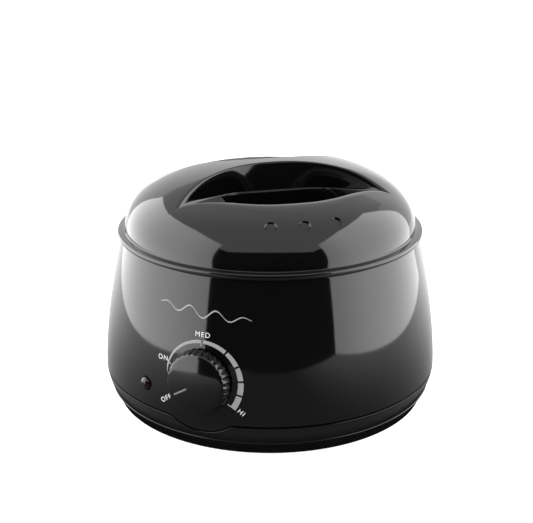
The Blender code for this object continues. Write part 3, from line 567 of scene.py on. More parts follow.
def build_housing():
    """Gloss shell with the double-walled collar that carries the well."""
    bottom = lower_edge(SEAM_Z + SEAM_GAP, LOBE_RADIUS)
    rows = []
    for back, up in EASED_EDGE:
        rows.append(round_row(housing_radius(bottom) - back, bottom + up))
    blend_top = 30.0  # Rows follow the parting line below this height, and are level above it.
    for share in (0.08, 0.2, 0.4, 0.6, 0.8):
        z = bottom + 0.14 + share * (blend_top - bottom - 0.14)
        rows.append(round_row(housing_radius(z), z))
    for z in (*np.arange(blend_top, 88, 4.0), 89.0, 90.0):
        rows.append(round_row(housing_radius(z), z))
    inside = rounded([
        (TOP_RADIUS + 0.05, TOP_Z, 0.9), (74.0, TOP_Z, 0.5), (73.5, 85.0, 0.3), (65.5, 85.0, 0.4),
        (65.5, 82.6, 0.2), (75.7, 82.6, 0.3), (75.7, 89.0, 0.3),
        (float(housing_radius(89)) - WALL, 89.0, 0.4),
    ], 3, closed=False)
    rim = rounded([
        (float(housing_radius(90)), 90.0, 0), (TOP_RADIUS + 0.02, TOP_Z, 0.9), (76.0, TOP_Z, 0),
    ], 4, closed=False)
    rows += [round_row(r, z) for r, z in rim[1:-1]]
    rows += [round_row(r, z) for r, z in inside[1:]]
    for z in (80.0, 68.0, 54.0, 40.0, blend_top):
        rows.append(round_row(housing_radius(z) - WALL, z))
    rows.append(round_row(housing_radius(bottom) - WALL, bottom + 0.1))
    rows.append(rows[0])
    shell = solid("housing_shell", [(np.vstack(rows), sheet_faces(len(rows), len(TURNS)))])

    dial = dial_frame()
    lamp = wall_frame(INDICATOR_TURN, INDICATOR_Z)
    holes = [rod([(5.0, -9), (5.0, 3)], dial)]
    holes.append(rod([(3.5, -9), (3.5, -0.3), (3.85, 0.12), (3.85, 3)], lamp, 64))
    holes.append(rod([(6.3, 82), (6.3, 96)], level_frame(GLAND_Z, (-1, 0, 0))))
    holes += [rod([(1.5, 80), (1.5, 87)], on_circle(WELL_SCREW_CIRCLE, angle), 24) for angle in THIRDS]
    carve(shell, holes)
    shade(shell, 32, wall_normals)
    piece_of(shell, GLOSS_HOUSING, "housing", "housing_gloss_black", "upper_housing")


def build_base():
    """Satin pan with a set-back foot, a lip inside the seam, vent slots and screw bores."""
    top = lower_edge(SEAM_Z, LOBE_RADIUS + SEAM_GAP) - 0.6
    rows = []
    for back, down in EASED_EDGE:
        rows.append(round_row(housing_radius(top) - back, top - down))
    for share in (0.25, 0.5, 0.75, 0.92):
        z = top - 0.3 - share * (top - 0.3 - LEDGE_Z)
        rows.append(round_row(housing_radius(z), z))
    foot = rounded([
        (float(housing_radius(LEDGE_Z + 0.9)), LEDGE_Z + 0.9, 0), (87.1, LEDGE_Z + 0.7, 0.1),
        (87.5, LEDGE_Z + 0.45, 0.2), (87.5, LEDGE_Z, 0.25), (86.2, LEDGE_Z - 0.4, 0.15),
        (83.9, BASE_LOW.z, 0.6), (40, BASE_LOW.z, 0), (0, BASE_LOW.z, 0),
    ], 4, closed=False)
    rows += [round_row(r, z) for r, z in foot]
    rows += [round_row(r, z) for r, z in ((0, 4.4), (40, 4.4), (81.4, 4.4), (82.6, 5.4), (84.6, 9.2))]
    x = MAX_RADIUS * ACROSS
    arc = DIAL_PLACE.z - np.sqrt(np.clip((LOBE_RADIUS + SEAM_GAP) ** 2 - x**2, 0, None))
    lip = np.where((np.abs(x) < LOBE_RADIUS) & (BACK < 0), np.minimum(arc, BASE_HIGH.z), BASE_HIGH.z)
    low_lip = np.minimum(16.0, lip - 1)
    rows += [round_row(85.6, low_lip), round_row(85.6, lip - 0.2), round_row(85.9, lip)]
    lower = np.minimum(lip, top)
    rows += [round_row(86.9, lip), round_row(87.15, lower - 0.1 + 0.5 * (lip - lower))]
    rows.append(round_row(87.2, np.minimum(lip - 0.05, top)))
    rows.append(rows[0])
    pan = solid("base_shell", [(np.vstack(rows), sheet_faces(len(rows), len(TURNS)))])

    carve(pan, [rod([(5.0, 3.4), (4.4, 23.7)], on_circle(POST_CIRCLE, a), 32) for a in POST_ANGLES], "UNION")
    cuts = [rod([(3.9, 1.0), (3.6, 2.4), (3.6, 5.2), (1.9, 5.2), (1.9, 26)], on_circle(POST_CIRCLE, a), 32)
            for a in POST_ANGLES]
    cuts += [rod([(7.4, 0.5), (7.4, 3.0)], on_circle(FOOT_CIRCLE, a)) for a in FOOT_ANGLES]
    cuts += [slot_block(16, 2.8, 1, 6, moved(degrees=45 * i) @ moved((29, 0, 0))) for i in range(8)]
    carve(pan, cuts)
    shade(pan, 32, wall_normals)
    piece_of(pan, SATIN_BASE, "housing", "base_black", "base_pan")


def cross_recess(screw, radius, low, high, matrix):
    """Cuts two crossed slots for a screwdriver, one after the other."""
    for angle in (0, 90):
        carve(screw, [slot_block(radius * 1.5, radius * 0.32, low, high, matrix @ moved(degrees=angle))])


def build_feet_and_screws():
    foot = rounded([
        (0, 0.5, 0), (2.0, 0.5, 0.3), (2.6, 0, 0.2), (6.4, 0, 0.5), (7.0, 1.0, 0.4), (7.0, 2.7, 0.2),
        (0, 2.7, 0),
    ], 4, closed=False)
    for index in range(1, len(FOOT_ANGLES) + 1):
        name = f"rubber_foot_{index}"
        pad = turned(f"foot_pad_{index}", foot, 64, over_node(name, box(name)[0].z), False)
        piece_of(shade(pad), RUBBER, "housing", "foot_rubber", name)

    screw = rounded([
        (0, 2.7, 0), (2.7, 2.75, 0.6), (3.2, 3.4, 0.3), (3.2, 4.9, 0.2), (1.55, 4.9, 0.1), (1.55, 35.6, 0.3),
        (0, 37, 0),
    ], 3, closed=False)
    for index in range(1, len(POST_ANGLES) + 1):
        name = f"base_screw_{index}"
        made = turned(f"base_screw_head_{index}", screw, 48, over_node(name), False)
        cross_recess(made, 2.7, 1.5, 3.8, over_node(name))
        piece_of(shade(made), SCREW_STEEL, "housing", "screw_steel", name)

    for index in range(1, len(THIRDS) + 1):
        name = f"well_screw_{index}"
        end, top = (corner.z for corner in box(name))
        head = rounded([
            (0, top, 0), (1.7, top - 0.05, 0.5), (2.2, top - 0.9, 0.15), (1.2, top - 0.9, 0.1),
            (1.2, end + 0.7, 0.2), (0, end, 0),
        ], 3, closed=False)
        made = turned(f"well_screw_head_{index}", head, 40, over_node(name), False)
        cross_recess(made, 1.7, top - 0.5, top + 1, over_node(name))
        piece_of(shade(made), SCREW_STEEL, "housing", "screw_steel", name)


# Lid


def lens_loop(back_grow=0.0, front_grow=0.0, tip_grow=0.0):
    """Plan of the finger recess: the rear arc from right to left, then the bowed front edge back."""
    back_y, back_r = GRIP_BACK[0], GRIP_BACK[1] + back_grow
    tip_x = GRIP_TIP + 2.2 * tip_grow
    tip_y = back_y + sqrt(back_r**2 - tip_x**2)
    share = np.arange(ARC_COLUMNS) / ARC_COLUMNS
    half = asin(tip_x / back_r)
    rear = pi / 2 - half + 2 * half * share
    front_x = tip_x * (2 * share - 1)
    bow = (1 - np.abs(front_x / tip_x) ** 2.4) ** 2.3
    front_y = tip_y - (tip_y - GRIP_LIP + front_grow) * bow
    x = np.concatenate([back_r * np.cos(rear), front_x])
    y = np.concatenate([back_y + back_r * np.sin(rear), front_y])
    return np.column_stack([x, y])


def patch_border(radius):
    """Half a disc's edge with a point for each column of the recess."""
    out = np.radians(-TIP_ANGLE + TIP_ANGLE * np.arange(SIDE_COLUMNS) / SIDE_COLUMNS)
    line = ARC_COLUMNS - 2 * SIDE_COLUMNS
    along = radius - 2 * radius * np.arange(line) / line
    back = np.radians(180 + TIP_ANGLE * np.arange(SIDE_COLUMNS) / SIDE_COLUMNS)
    share = np.arange(ARC_COLUMNS) / ARC_COLUMNS
    front = np.radians(180 + TIP_ANGLE + (180 - 2 * TIP_ANGLE) * share)
    x = np.concatenate([radius * np.cos(out), along, radius * np.cos(back), radius * np.cos(front)])
    y = np.concatenate([radius * np.sin(out), np.zeros(line), radius * np.sin(back), radius * np.sin(front)])
    return np.column_stack([x, y])


def outward(loop):
    """Unit normals of an anticlockwise loop in plan."""
    along = unit_rows(np.roll(loop, -1, axis=0) - np.roll(loop, 1, axis=0))
    return np.column_stack([along[:, 1], -along[:, 0]])


def smooth_step(low, high, value):
    share = np.clip((value - low) / (high - low), 0, 1)
    return share * share * (3 - 2 * share)


def shelf_loop():
    """Foot of the recess's wall: nearly straight along the grip, and a little inside the lens elsewhere."""
    loop = lens_loop(-1.0, -2.0, -1.0)
    top = lens_loop()
    rear = np.arange(2 * ARC_COLUMNS) < ARC_COLUMNS
    x = np.abs(loop[:, 0])
    room = top[:, 1] - LEDGE_BACK_Y
    least = 0.3 + 0.7 * smooth_step(26, 45, x)
    blend = 0.8
    excess = np.clip(blend - np.abs(room - least), 0, None) / blend
    draft = np.maximum(room, least) + excess**2 * blend / 4
    centre = np.array([0.0, GRIP_BACK[0]])
    moved_in = centre + unit_rows(loop - centre) * (GRIP_BACK[1] - draft)[:, None]
    return np.where(rear[:, None], moved_in, loop)


def pocket_loop(shelf):
    """Plan of the deep pocket: its rear edge follows the ledge, then round corners and a bowed front."""
    rear = shelf[:ARC_COLUMNS]
    straight = np.abs(rear[:, 0]) <= PORT_HALF - 2
    edge = rear[straight] - np.array([0.0, 1.0])
    start = edge[0]
    wide, low, bow = PORT_HALF + 2.0, -31.0, -44.3
    turn_in = 2.6
    side = [tuple(start)]
    for k in range(1, 7):
        angle = radians(90 - 15 * k)
        side.append((wide - turn_in + turn_in * cos(angle), start[1] - turn_in + turn_in * sin(angle)))
    bow_points = rounded([(wide, start[1] - turn_in, 0), (wide, low, 9), (0, bow - 2.2, 60), (-wide, low, 9),
                          (-wide, start[1] - turn_in, 0)], 12, closed=False)
    right = np.array(side + [p for p in bow_points[1:] if p[0] >= 0])
    right = right[np.concatenate([[True], np.linalg.norm(np.diff(right, axis=0), axis=1) > 1e-4])]
    length = np.concatenate([[0], np.cumsum(np.linalg.norm(np.diff(right, axis=0), axis=1))])

    def along(count, parts):
        """Evenly spaced points down the right-hand side, without its start."""
        spots = length[-1] * np.arange(1, count + 1) / parts
        return np.column_stack([np.interp(spots, length, right[:, 0]), np.interp(spots, length, right[:, 1])])

    loop = np.zeros((2 * ARC_COLUMNS, 2))
    first = int(np.argmax(straight))
    last = first + len(edge)
    loop[first:last] = edge
    left_count = ARC_COLUMNS + ARC_COLUMNS // 2 - last
    loop[last:last + left_count] = along(left_count, left_count) * np.array([-1, 1])
    right_count = 2 * ARC_COLUMNS - (last + left_count) + first
    turn_back = along(right_count, right_count + 1)[::-1]
    tail = 2 * ARC_COLUMNS - (last + left_count)
    loop[last + left_count:] = turn_back[:tail]
    loop[:first] = turn_back[tail:]
    return loop


def skin_height(plan, thick, scoop):
    """Height of the lid's skin, which is scooped out towards the middle of a recess's outer lip."""
    x, y = plan.T
    share = (1 - smooth_step(54, 71.5, np.hypot(x, y))) * smooth_step(12, 36, -y)
    return dome_height(x, y, thick) - scoop * share


def recess_rows(thick, scoop):
    """Rows from the patch's border over the lip, down the wall, over the shelf and into the pocket."""
    grow = thick
    lip_back, lip_front, tip_grow = (0.9, 9.0, 0.0) if thick == 0 else (1.5, 2.0, 1.4)
    border = patch_border(PATCH_RADIUS - thick)
    rim = lens_loop(grow + lip_back, grow + lip_front, tip_grow + 1.0)
    rows = []
    for share in np.linspace(0, 1, 14):
        plan = border + (rim - border) * share
        rows.append(flat(plan, skin_height(plan, thick, scoop)))
    corner = lens_loop(grow, grow, tip_grow)
    corner = flat(corner, skin_height(corner, thick, scoop))
    shelf = shelf_loop()
    shelf = shelf + outward(shelf) * grow
    shelf_z = SHELF_Z - thick
    foot = flat(shelf, shelf_z)
    drop = np.linalg.norm(corner - foot, axis=1)
    rear = np.arange(len(shelf)) < ARC_COLUMNS
    tip = smooth_step(30, 52, np.abs(shelf[:, 0]))
    lip = np.where(rear, lip_back + 1.0 * tip, lip_front * (1 - 0.7 * tip))
    high = np.minimum(0.5, lip / drop)[:, None]
    low = np.minimum(0.45, np.where(rear, 0.5 + 1.5 * tip, 2.0) / drop)[:, None]
    first = corner + (foot - corner) * high
    second = foot + (corner - foot) * low
    start = rows[-1]
    rows += [bend(start, corner, first, t) for t in (0.2, 0.4, 0.6, 0.8, 1.0)]
    rows += [first + (second - first) * t for t in (0.35, 0.7, 1.0)]
    inset = np.where(rear, 0.25 + 1.2 * tip, 1.5)[:, None]
    landing = foot - flat(outward(shelf) * inset, 0)
    rows += [bend(second, foot, landing, t) for t in (0.25, 0.5, 0.75, 1.0)]
    pocket = pocket_loop(shelf_loop())
    facing = outward(pocket)
    levels = [(0.45, 0.0), (0.28, 0.04), (0.12, 0.14), (0.03, 0.3), (0.0, 0.5)]
    deep = SHELF_Z - FLOOR_Z
    levels += [(-0.5, deep * 0.45), (-0.8, deep - 1.6), (-0.92, deep - 0.9), (-1.15, deep - 0.35)]
    levels += [(-1.5, deep - 0.05), (-1.8, deep)]
    edge = pocket + facing * (grow + levels[0][0])
    level = flat(edge, shelf_z)
    rows += [landing + (level - landing) * t for t in (0.33, 0.67)]
    for out, down in levels:
        rows.append(flat(pocket + facing * (grow + out), shelf_z - down))
    floor_plan = rows[-1][:, :2]
    middle = floor_plan.mean(axis=0)
    for share in (0.3, 0.6, 1.0):
        rows.append(flat(floor_plan + (middle - floor_plan) * share, shelf_z - deep))
    return rows


def circle_columns():
    """The border's columns that lie on the circle, from the left end round the front to the right."""
    left = ARC_COLUMNS - SIDE_COLUMNS
    return list(range(left, 2 * ARC_COLUMNS)) + list(range(SIDE_COLUMNS))


def rim_rows():
    """The dome below both patches, the flange, the skirt and the inner side, as full rings."""
    half = patch_border(1.0)[circle_columns()]
    unit = np.vstack([half, -half])

    rows = []
    start = asin((float(dome_height(PATCH_RADIUS, 0)) - DOME_Z) / DOME_HEIGHT)
    for share in np.linspace(0, 1, 10)[:-1]:
        rise = start * (1 - share)
        radius = DOME_RADIUS * cos(rise) ** (2 / DOME_POWER)
        rows.append(flat(unit * radius, DOME_Z + DOME_HEIGHT * sin(rise)))
    outside = FLANGE_RADIUS
    profile = rounded([
        (DOME_RADIUS, DOME_Z + 1.6, 0), (DOME_RADIUS, DOME_Z + 0.05, 0.7), (outside, DOME_Z - 0.15, 0.9),
        (outside, 91.7, 0.8), (73.2, 91.7, 0.3), (72.9, LID_LOW.z, 0.4), (71.4, LID_LOW.z, 0.4),
        (71.4, 96.0, 1.5), (74.4, 99.0, 1.0), (74.2, 101.0, 0),
    ], 4, closed=False)
    rows += [flat(unit * r, z) for r, z in profile[1:-1]]
    border = PATCH_RADIUS - LID_WALL
    inner_height = DOME_HEIGHT - LID_WALL
    high_rise = asin((float(dome_height(border, 0, LID_WALL)) - DOME_Z) / inner_height)
    low_rise = asin((101.0 - DOME_Z) / inner_height)
    for rise in np.linspace(low_rise, high_rise, 8):
        radius = (DOME_RADIUS - LID_WALL) * cos(rise) ** (2 / DOME_POWER)
        rows.append(flat(unit * radius, DOME_Z + inner_height * sin(rise)))
    return rows


def dome_normals(points):
    """Normals of the lid's outer dome."""
    radius = np.hypot(points[:, 0], points[:, 1])
    share = np.clip(radius / DOME_RADIUS, 1e-6, 0.99999)
    fall = DOME_HEIGHT * DOME_POWER / 2 / DOME_RADIUS
    fall = fall * share ** (DOME_POWER - 1) / np.sqrt(1 - share**DOME_POWER)
    out = points[:, :2] / np.maximum(radius, 1e-6)[:, None]
    normals = unit_rows(flat(out * fall[:, None], 1))
    x, y, z = points.T
    known = (np.abs(z - dome_height(x, y)) < 0.02) & (z > DOME_Z + 1.8)
    return normals, known


def build_lid():
    blocks = []
    for thick in (0.0, LID_WALL):
        for scoop, side in ((FRONT_SCOOP, 1), (REAR_SCOOP, -1)):
            rows = recess_rows(thick, scoop)
            faces = sheet_faces(len(rows), 2 * ARC_COLUMNS)
            blocks.append((np.vstack(rows) * np.array([side, side, 1]), faces))
    rows = rim_rows()
    blocks.append((np.vstack(rows), sheet_faces(len(rows), len(rows[0]))))
    lid = solid("lid_shell", blocks, weld=0.01)
    vents = []
    for angle in VENT_ANGLES:
        turn = radians(angle)
        aim = facing(turn, radians(VENT_RISE))
        across = Vector((cos(turn), sin(turn), 0))
        place = (VENT_CIRCLE * sin(turn), -VENT_CIRCLE * cos(turn), VENT_Z)
        levels = [(VENT_RADIUS - 0.3, -VENT_DEPTH), (VENT_RADIUS, 0.3 - VENT_DEPTH), (VENT_RADIUS, -0.5)]
        levels += [(VENT_RADIUS + VENT_CHAMFER, z) for z in (0.15, 6)]
        vents.append(rod(levels, frame_at(place, across, aim.cross(across)), 48))
    carve(lid, vents)
    shade(lid, 34, dome_normals)
    lid.data.transform(Matrix.Rotation(radians(LID_TURN), 4, "Z"))
    piece_of(lid, GLOSS_LID, "lid", "lid_gloss_black", "lid")


# Dial, print and lamp


def build_knob():
    """Low knob with a ribbed side, a smooth face and a pointer laid in a groove."""
    per_rib = 8
    count = KNOB_RIBS * per_rib
    turns = np.arange(count) * 2 * pi / count
    dip = 0.6 * (0.5 - 0.5 * np.cos(turns * KNOB_RIBS)) ** 1.6

    def row(radius, depth, rib):
        r = radius - rib * dip
        return np.column_stack([r * np.cos(turns), r * np.sin(turns), np.full(count, depth)])

    levels = [(0, SOCKET_DEPTH, 0), (3.25, SOCKET_DEPTH, 0), (3.25, 0.7, 0), (3.5, 0.5, 0), (15.2, 0.5, 0)]
    levels += [(16.0, 0.5, 0.6), (16.3, 0.6, 0.75), (KNOB_RADIUS, 0.85, 0.9), (16.3, 1.7, 0.95)]
    levels += [(16.1, 2.7, 0.95), (15.8, 3.8, 0.9), (15.45, 4.8, 0.75), (15.2, 5.4, 0.55)]
    levels += [(14.95, 5.82, 0.3), (14.6, 6.1, 0.1)]
    levels += [(r, KNOB_DEPTH - r**2 / (2 * FACE_CURVE), 0) for r in (14.1, 12.8, 11, 8.8, 6.6, 4.4, 2.2, 0)]
    rows = [row(radius, depth, rib) for radius, depth, rib in levels]
    dial = dial_frame()
    knob = solid("knob_cap", [(np.vstack(rows), sheet_faces(len(rows), count))], dial)
    out = 8.8
    lean = degrees(atan(out / FACE_CURVE))
    face = KNOB_DEPTH - out**2 / (2 * FACE_CURVE)
    line = dial @ moved(degrees=OFF_ANGLE) @ moved((out, 0, face), "Y", lean)
    carve(knob, [slot_block(8.8, 1.5, -0.8, 1, line)])
    piece_of(shade(knob, 30), GLOSS_KNOB, "knob", "knob_black", "dial_knob")

    top = 0.03
    loops = [slot_ring(8.2, 0.9, -0.5), slot_ring(8.2, 0.9, top - 0.12), slot_ring(8.1, 0.8, top - 0.03),
             slot_ring(7.9, 0.6, top)]
    pointer = solid("pointer_inlay", [stack(loops)], line)
    piece_of(shade(pointer), POINTER_WHITE, "knob", "pointer_white", "knob_pointer")


def on_dial(u, v, lift):
    """A point of the dial's plane set on the housing's side, lift outside it."""
    z = DIAL_PLACE.z + v * cos(DIAL_TILT)
    return u, -np.sqrt((housing_radius(z) + lift) ** 2 - u**2), z


def printed(outlines):
    """Closed thin blocks from grids of dial-plane points, each (rows, columns, 2)."""
    blocks = []
    for grid in outlines:
        rows, cols = grid.shape[:2]
        spots = grid.reshape(-1, 2)
        top, under = (np.column_stack(on_dial(*spots.T, lift)) for lift in (PRINT_HIGH, PRINT_LOW))
        faces = sheet_faces(rows, cols, closed=False)
        count = rows * cols
        faces += [tuple(i + count for i in reversed(face)) for face in faces]
        edge = [*range(cols)] + [r * cols + cols - 1 for r in range(1, rows)]
        edge += [(rows - 1) * cols + c for c in range(cols - 2, -1, -1)]
        edge += [r * cols for r in range(rows - 2, 0, -1)]
        for a, b in zip(edge, edge[1:] + edge[:1]):
            faces.append((b, a, a + count, b + count))
        blocks.append((np.vstack([top, under]), faces))
    return blocks


def scale_outer(angle):
    grown = (SCALE_START - angle) / (SCALE_START - SCALE_END)
    return SCALE_INNER + 0.05 + (0.6 + 2.4 * grown) * min(1.0, (SCALE_START + 0.5 - angle) / 14)


def scale_grid(start, end):
    angles = np.linspace(start, end, max(3, int(abs(start - end) / 2)))
    inner = [(SCALE_INNER * cos(radians(a)), SCALE_INNER * sin(radians(a))) for a in angles]
    outer = [(scale_outer(a) * cos(radians(a)), scale_outer(a) * sin(radians(a))) for a in angles]
    return np.array([inner, outer])


def tick_grid(angle, low, width):
    """A tick from a radius up to the scale's inner edge."""
    turn = radians(angle)
    out, side = np.array([cos(turn), sin(turn)]), np.array([-sin(turn), cos(turn)]) * width / 2
    return np.array([[out * reach - side, out * reach + side] for reach in (low, SCALE_INNER)])


def build_print():
    """The dial's growing scale, its ticks and its plain legends."""
    edges = [SCALE_START]
    for gap in SCALE_GAPS:
        edges += [gap + SCALE_HALF_GAP, gap - SCALE_HALF_GAP]
    edges.append(SCALE_END)
    grids = [scale_grid(start, end) for start, end in zip(edges[::2], edges[1::2])]
    grids += [tick_grid(162, 17.7, 0.5), tick_grid(91.3, 17.6, 0.45), tick_grid(SCALE_END + 0.8, 17.3, 0.6)]
    scale = solid("dial_scale", printed(grids), weld=0.001)
    piece_of(shade(scale), PRINT_WHITE, "housing", "pointer_white")

    legends = (("off", "OFF", 214, 23.6, 34), ("on", "ON", 161, 23.2, 0), ("medium", "MED", 90, 23.2, 0),
               ("high", "HI", -33, 24.9, -38))
    for name, word, angle, radius, lean in legends:
        curve = bpy.data.curves.new(f"text_{name}", "FONT")
        curve.body = word
        curve.size = 3.6
        curve.offset = -0.05
        curve.align_x = curve.align_y = "CENTER"
        curve.extrude = 0.5
        curve.resolution_u = 4
        curve.space_character = 1.2
        holder = link(f"text_{name}", curve)
        bpy.context.view_layer.update()
        mesh = bpy.data.meshes.new_from_object(holder.evaluated_get(bpy.context.evaluated_depsgraph_get()))
        bpy.data.objects.remove(holder)
        turn, tilt = radians(angle), radians(lean)
        for vertex in mesh.vertices:
            x, y, side = vertex.co
            u = radius * cos(turn) + x * cos(tilt) - y * sin(tilt)
            v = radius * sin(turn) + x * sin(tilt) + y * cos(tilt)
            vertex.co = Vector(on_dial(u, v, PRINT_HIGH if side > 0 else PRINT_LOW)) * MM
        bm = bmesh.new()
        bm.from_mesh(mesh)
        bmesh.ops.remove_doubles(bm, verts=bm.verts, dist=0.0005 * MM)
        bmesh.ops.recalc_face_normals(bm, faces=bm.faces)
        bm.to_mesh(mesh)
        bm.free()
        piece_of(link(f"legend_{name}", mesh), LEGEND_WHITE, "housing", "pointer_white")


def build_flourish():
    """A plain tapering wave line where such pots carry a mark."""
    turns = np.linspace(-17.5, 16.5, 90)
    share = np.linspace(0, 1, len(turns))
    middle = 75.2 - 3.0 * share + 2.3 * np.sin(2 * pi * 3.5 * share) * np.sin(pi * share) ** 0.5
    half = 0.12 + 0.33 * np.sin(pi * share) ** 0.7 * (0.65 + 0.35 * np.cos(2 * pi * 3.5 * share))
    rows = []
    for side in (-1, 1):
        z = middle + side * half
        for lift in (PRINT_LOW, PRINT_HIGH) if side < 0 else (PRINT_HIGH, PRINT_LOW):
            r = housing_radius(z) + lift
            rows.append(np.column_stack([r * np.sin(np.radians(turns)), -r * np.cos(np.radians(turns)), z]))
    loops = [np.array([row[i] for row in rows]) for i in range(len(turns))]
    line = solid("flourish_line", [stack(loops)], weld=0.0005)
    piece_of(shade(line, 60), PRINT_WHITE, "housing", "pointer_white")


def build_lens():
    lamp = wall_frame(INDICATOR_TURN, INDICATOR_Z)
    profile = rounded([(0, 2.45, 0), (1.6, 2.35, 1.5), (3.15, 0.9, 1.6), (3.2, -3.3, 0.1), (4.8, -3.3, 0.2),
                       (4.8, -4.6, 0.3), (0, -4.6, 0)], 6, closed=False)
    piece_of(shade(turned("lens_button", profile, 64, lamp, False)), SMOKED_LENS, "housing", "lens_dark",
             "indicator_lens")


def build_gland():
    """Empty rear bushing with a soft nose."""
    low, high = box("cord_gland")
    nose = high.y
    profile = rounded([
        (4.3, nose - 0.35, 0.5), (5.0, nose, 0.5), (6.1, nose, 0.5), (6.6, 92.2, 0.3), (6.9, 91.8, 0.2),
        (8.6, 91.8, 0.5), (8.6, 90.3, 0.2), (6.0, 90.3, 0.1), (6.0, 85.4, 0.2), (7.6, 85.2, 0.3),
        (7.0, low.y, 0.4), (4.2, low.y, 0.3),
    ], 4)
    gland = turned("gland_bushing", profile, 64, level_frame(GLAND_Z, (-1, 0, 0)))
    piece_of(shade(gland), GLAND_BLACK, "housing", "gland_black", "cord_gland")


# Metal parts under the lid


def build_well():
    high = box("heating_well")[1]
    sheet, wall, foot = 1.2, 63.2, 26.0
    profile = rounded([
        (high.x, high.z, 0.3), (high.x, high.z - sheet, 0.3), (wall, high.z - sheet, 1.0), (wall, foot, 6.0),
        (0, foot, 0), (0, foot + sheet, 0), (wall - sheet, foot + sheet, 4.8), (wall - sheet, high.z, 1.4),
    ], 8)
    well = turned("well_tub", profile, 128)
    studs = [rod([(1.2, 11.0), (1.5, 11.4), (1.5, 26.6)], on_circle(STUD_CIRCLE, a), 24) for a in THIRDS]
    carve(well, studs, "UNION")
    carve(well, [rod([(1.5, 84), (1.5, 90)], on_circle(WELL_SCREW_CIRCLE, a), 24) for a in THIRDS])
    piece_of(shade(well), WELL_ALUMINIUM, "housing", "well_aluminium", "heating_well")


def build_pot():
    low, high = box("wax_pot")
    sheet, wall, rim = 1.2, 60.5, high.z
    profile = rounded([
        (high.x, rim, 0.6), (high.x, rim - 1.3, 0.5), (wall, rim - 1.3, 1.0), (wall, low.z, 9.0),
        (0, low.z, 0), (0, low.z + sheet, 0), (wall - sheet, low.z + sheet, 7.8), (wall - sheet, rim, 1.6),
    ], 8)
    pot = turned("pot_bowl", profile, 128)
    across = level_frame(RIVET_Z, (0, 1, 0))
    carve(pot, [rod([(1.8, side * 50), (1.8, side * 70)], across) for side in (-1, 1)])
    piece_of(shade(pot), POT_ALUMINIUM, "pot", "pot_aluminium", "wax_pot")
    build_ear("left", -1)
    build_ear("right", 1)


def build_ear(word, side):
    """A riveted plate at one side of the pot, with a hole for the bail's end."""
    low, high = box(f"bail_ear_{word}")
    half = (high.y - low.y) / 2
    middle = (low.z + high.z) / 2
    outline = rounded([(-half, low.z, 3.0), (half, low.z, 3.0), (half, high.z, 5.2), (-half, high.z, 5.2)], 8)
    chamfer = 0.15
    loops = []
    for x, inset in ((low.x, chamfer), (low.x + chamfer, 0), (high.x - chamfer, 0), (high.x, chamfer)):
        keep = 1 - inset / half
        loops.append(np.array([(x, y * keep, middle + (z - middle) * keep) for y, z in outline]))
    ear = solid(f"ear_plate_{word}", [stack(loops)])
    reach = side * 58.0
    carve(ear, [rod([(radius, reach - 3), (radius, reach + 3)], level_frame(z, (0, 1, 0)))
                for radius, z in ((2.3, BAIL_Z), (1.8, RIVET_Z))])
    piece_of(shade(ear), BAIL_STEEL, "pot", "ear_steel", f"bail_ear_{word}")

    profile = rounded([
        (0, 61.4, 0), (1.6, 61.3, 0.6), (2.5, 60.85, 0.3), (1.5, 60.8, 0.1), (1.5, 57.0, 0.1),
        (3.0, 57.0, 0.3), (2.3, 56.1, 0.7), (0, 55.8, 0),
    ], 4, closed=False)
    rivet = turned(f"rivet_head_{word}", profile, 40, level_frame(RIVET_Z, (0, side, 0)), False)
    piece_of(shade(rivet), RIVET_ALUMINIUM, "pot", "rivet_aluminium", f"ear_rivet_{word}")


def build_bail():
    """Wire hoop, folded down round the pot's rim, its ends turned in through the ears."""
    low, high = box("bail_handle")
    wire = (high.z - low.z) / 2
    radius = high.y - wire
    ends = rounded([(-55.9, 0, 0), (-radius, 0, 2.2), (-radius, 9, 0)], 6, closed=False)[:-1]
    arc = [(radius * cos(t), radius * sin(t)) for t in np.radians(np.linspace(174, 6, 58))]
    path = ends + arc + [(-x, y) for x, y in reversed(ends)]
    sides = 20
    loops = []
    for i, (x, y) in enumerate(path):
        before, after = Vector(path[max(i - 1, 0)]), Vector(path[min(i + 1, len(path) - 1)])
        along = (after - before).normalized()
        reach = wire * (0.85 if i in (0, len(path) - 1) else 1.0)
        side = Vector((along.y, -along.x)) * reach
        turns = np.arange(sides) * 2 * pi / sides
        loops.append(np.array([(x + side.x * cos(t), y + side.y * cos(t), BAIL_Z + reach * sin(t))
                               for t in turns]))
    bail = solid("bail_wire", [stack(loops)])
    piece_of(shade(bail, 50), BAIL_STEEL, "bail", "bail_steel", "bail_handle")


def finish_inner_nodes():
    """Materials and eased edges for the CAD nodes inside the housing, which keep their own shape."""
    # The first name that a node starts with counts, so longer names come first.
    finishes = (
        ("well_seal_ring", SILICONE), ("heater_band_screw", SCREW_STEEL), ("heater_band_nut", SCREW_STEEL),
        ("heater_band", MICA), ("insulation_wrap", FIBRE), ("heat_shield", SCREW_STEEL),
        ("shield_spacer", CERAMIC), ("shield_nut", SCREW_STEEL), ("thermostat_body", CERAMIC),
        ("thermostat_bracket", SCREW_STEEL), ("thermostat_screw", SCREW_STEEL),
        ("thermostat_spindle", SPINDLE_BRASS), ("indicator_lamp", LAMP_GLASS), ("terminal_block", TERMINAL),
        ("thermal_fuse", SCREW_STEEL), ("fuse_clip", SCREW_STEEL), ("lead_neutral", LEAD_BLUE),
        ("lead_lamp_neutral", LEAD_BLUE), ("lead_", LEAD_BROWN),
    )
    for name, node in frame["nodes"].items():
        if node.hide_render:
            continue
        for start, material in finishes:
            if name.startswith(start):
                node.data.materials.clear()
                node.data.materials.append(material)
                break
        else:
            continue
        weld = node.modifiers.new("weld", "WELD")
        weld.merge_threshold = 0.001 * MM
        eased = node.modifiers.new("eased", "BEVEL")
        eased.width = 0.15 * MM
        eased.segments = 2
        eased.limit_method = "ANGLE"
        eased.angle_limit = radians(40)
        eased.harden_normals = False


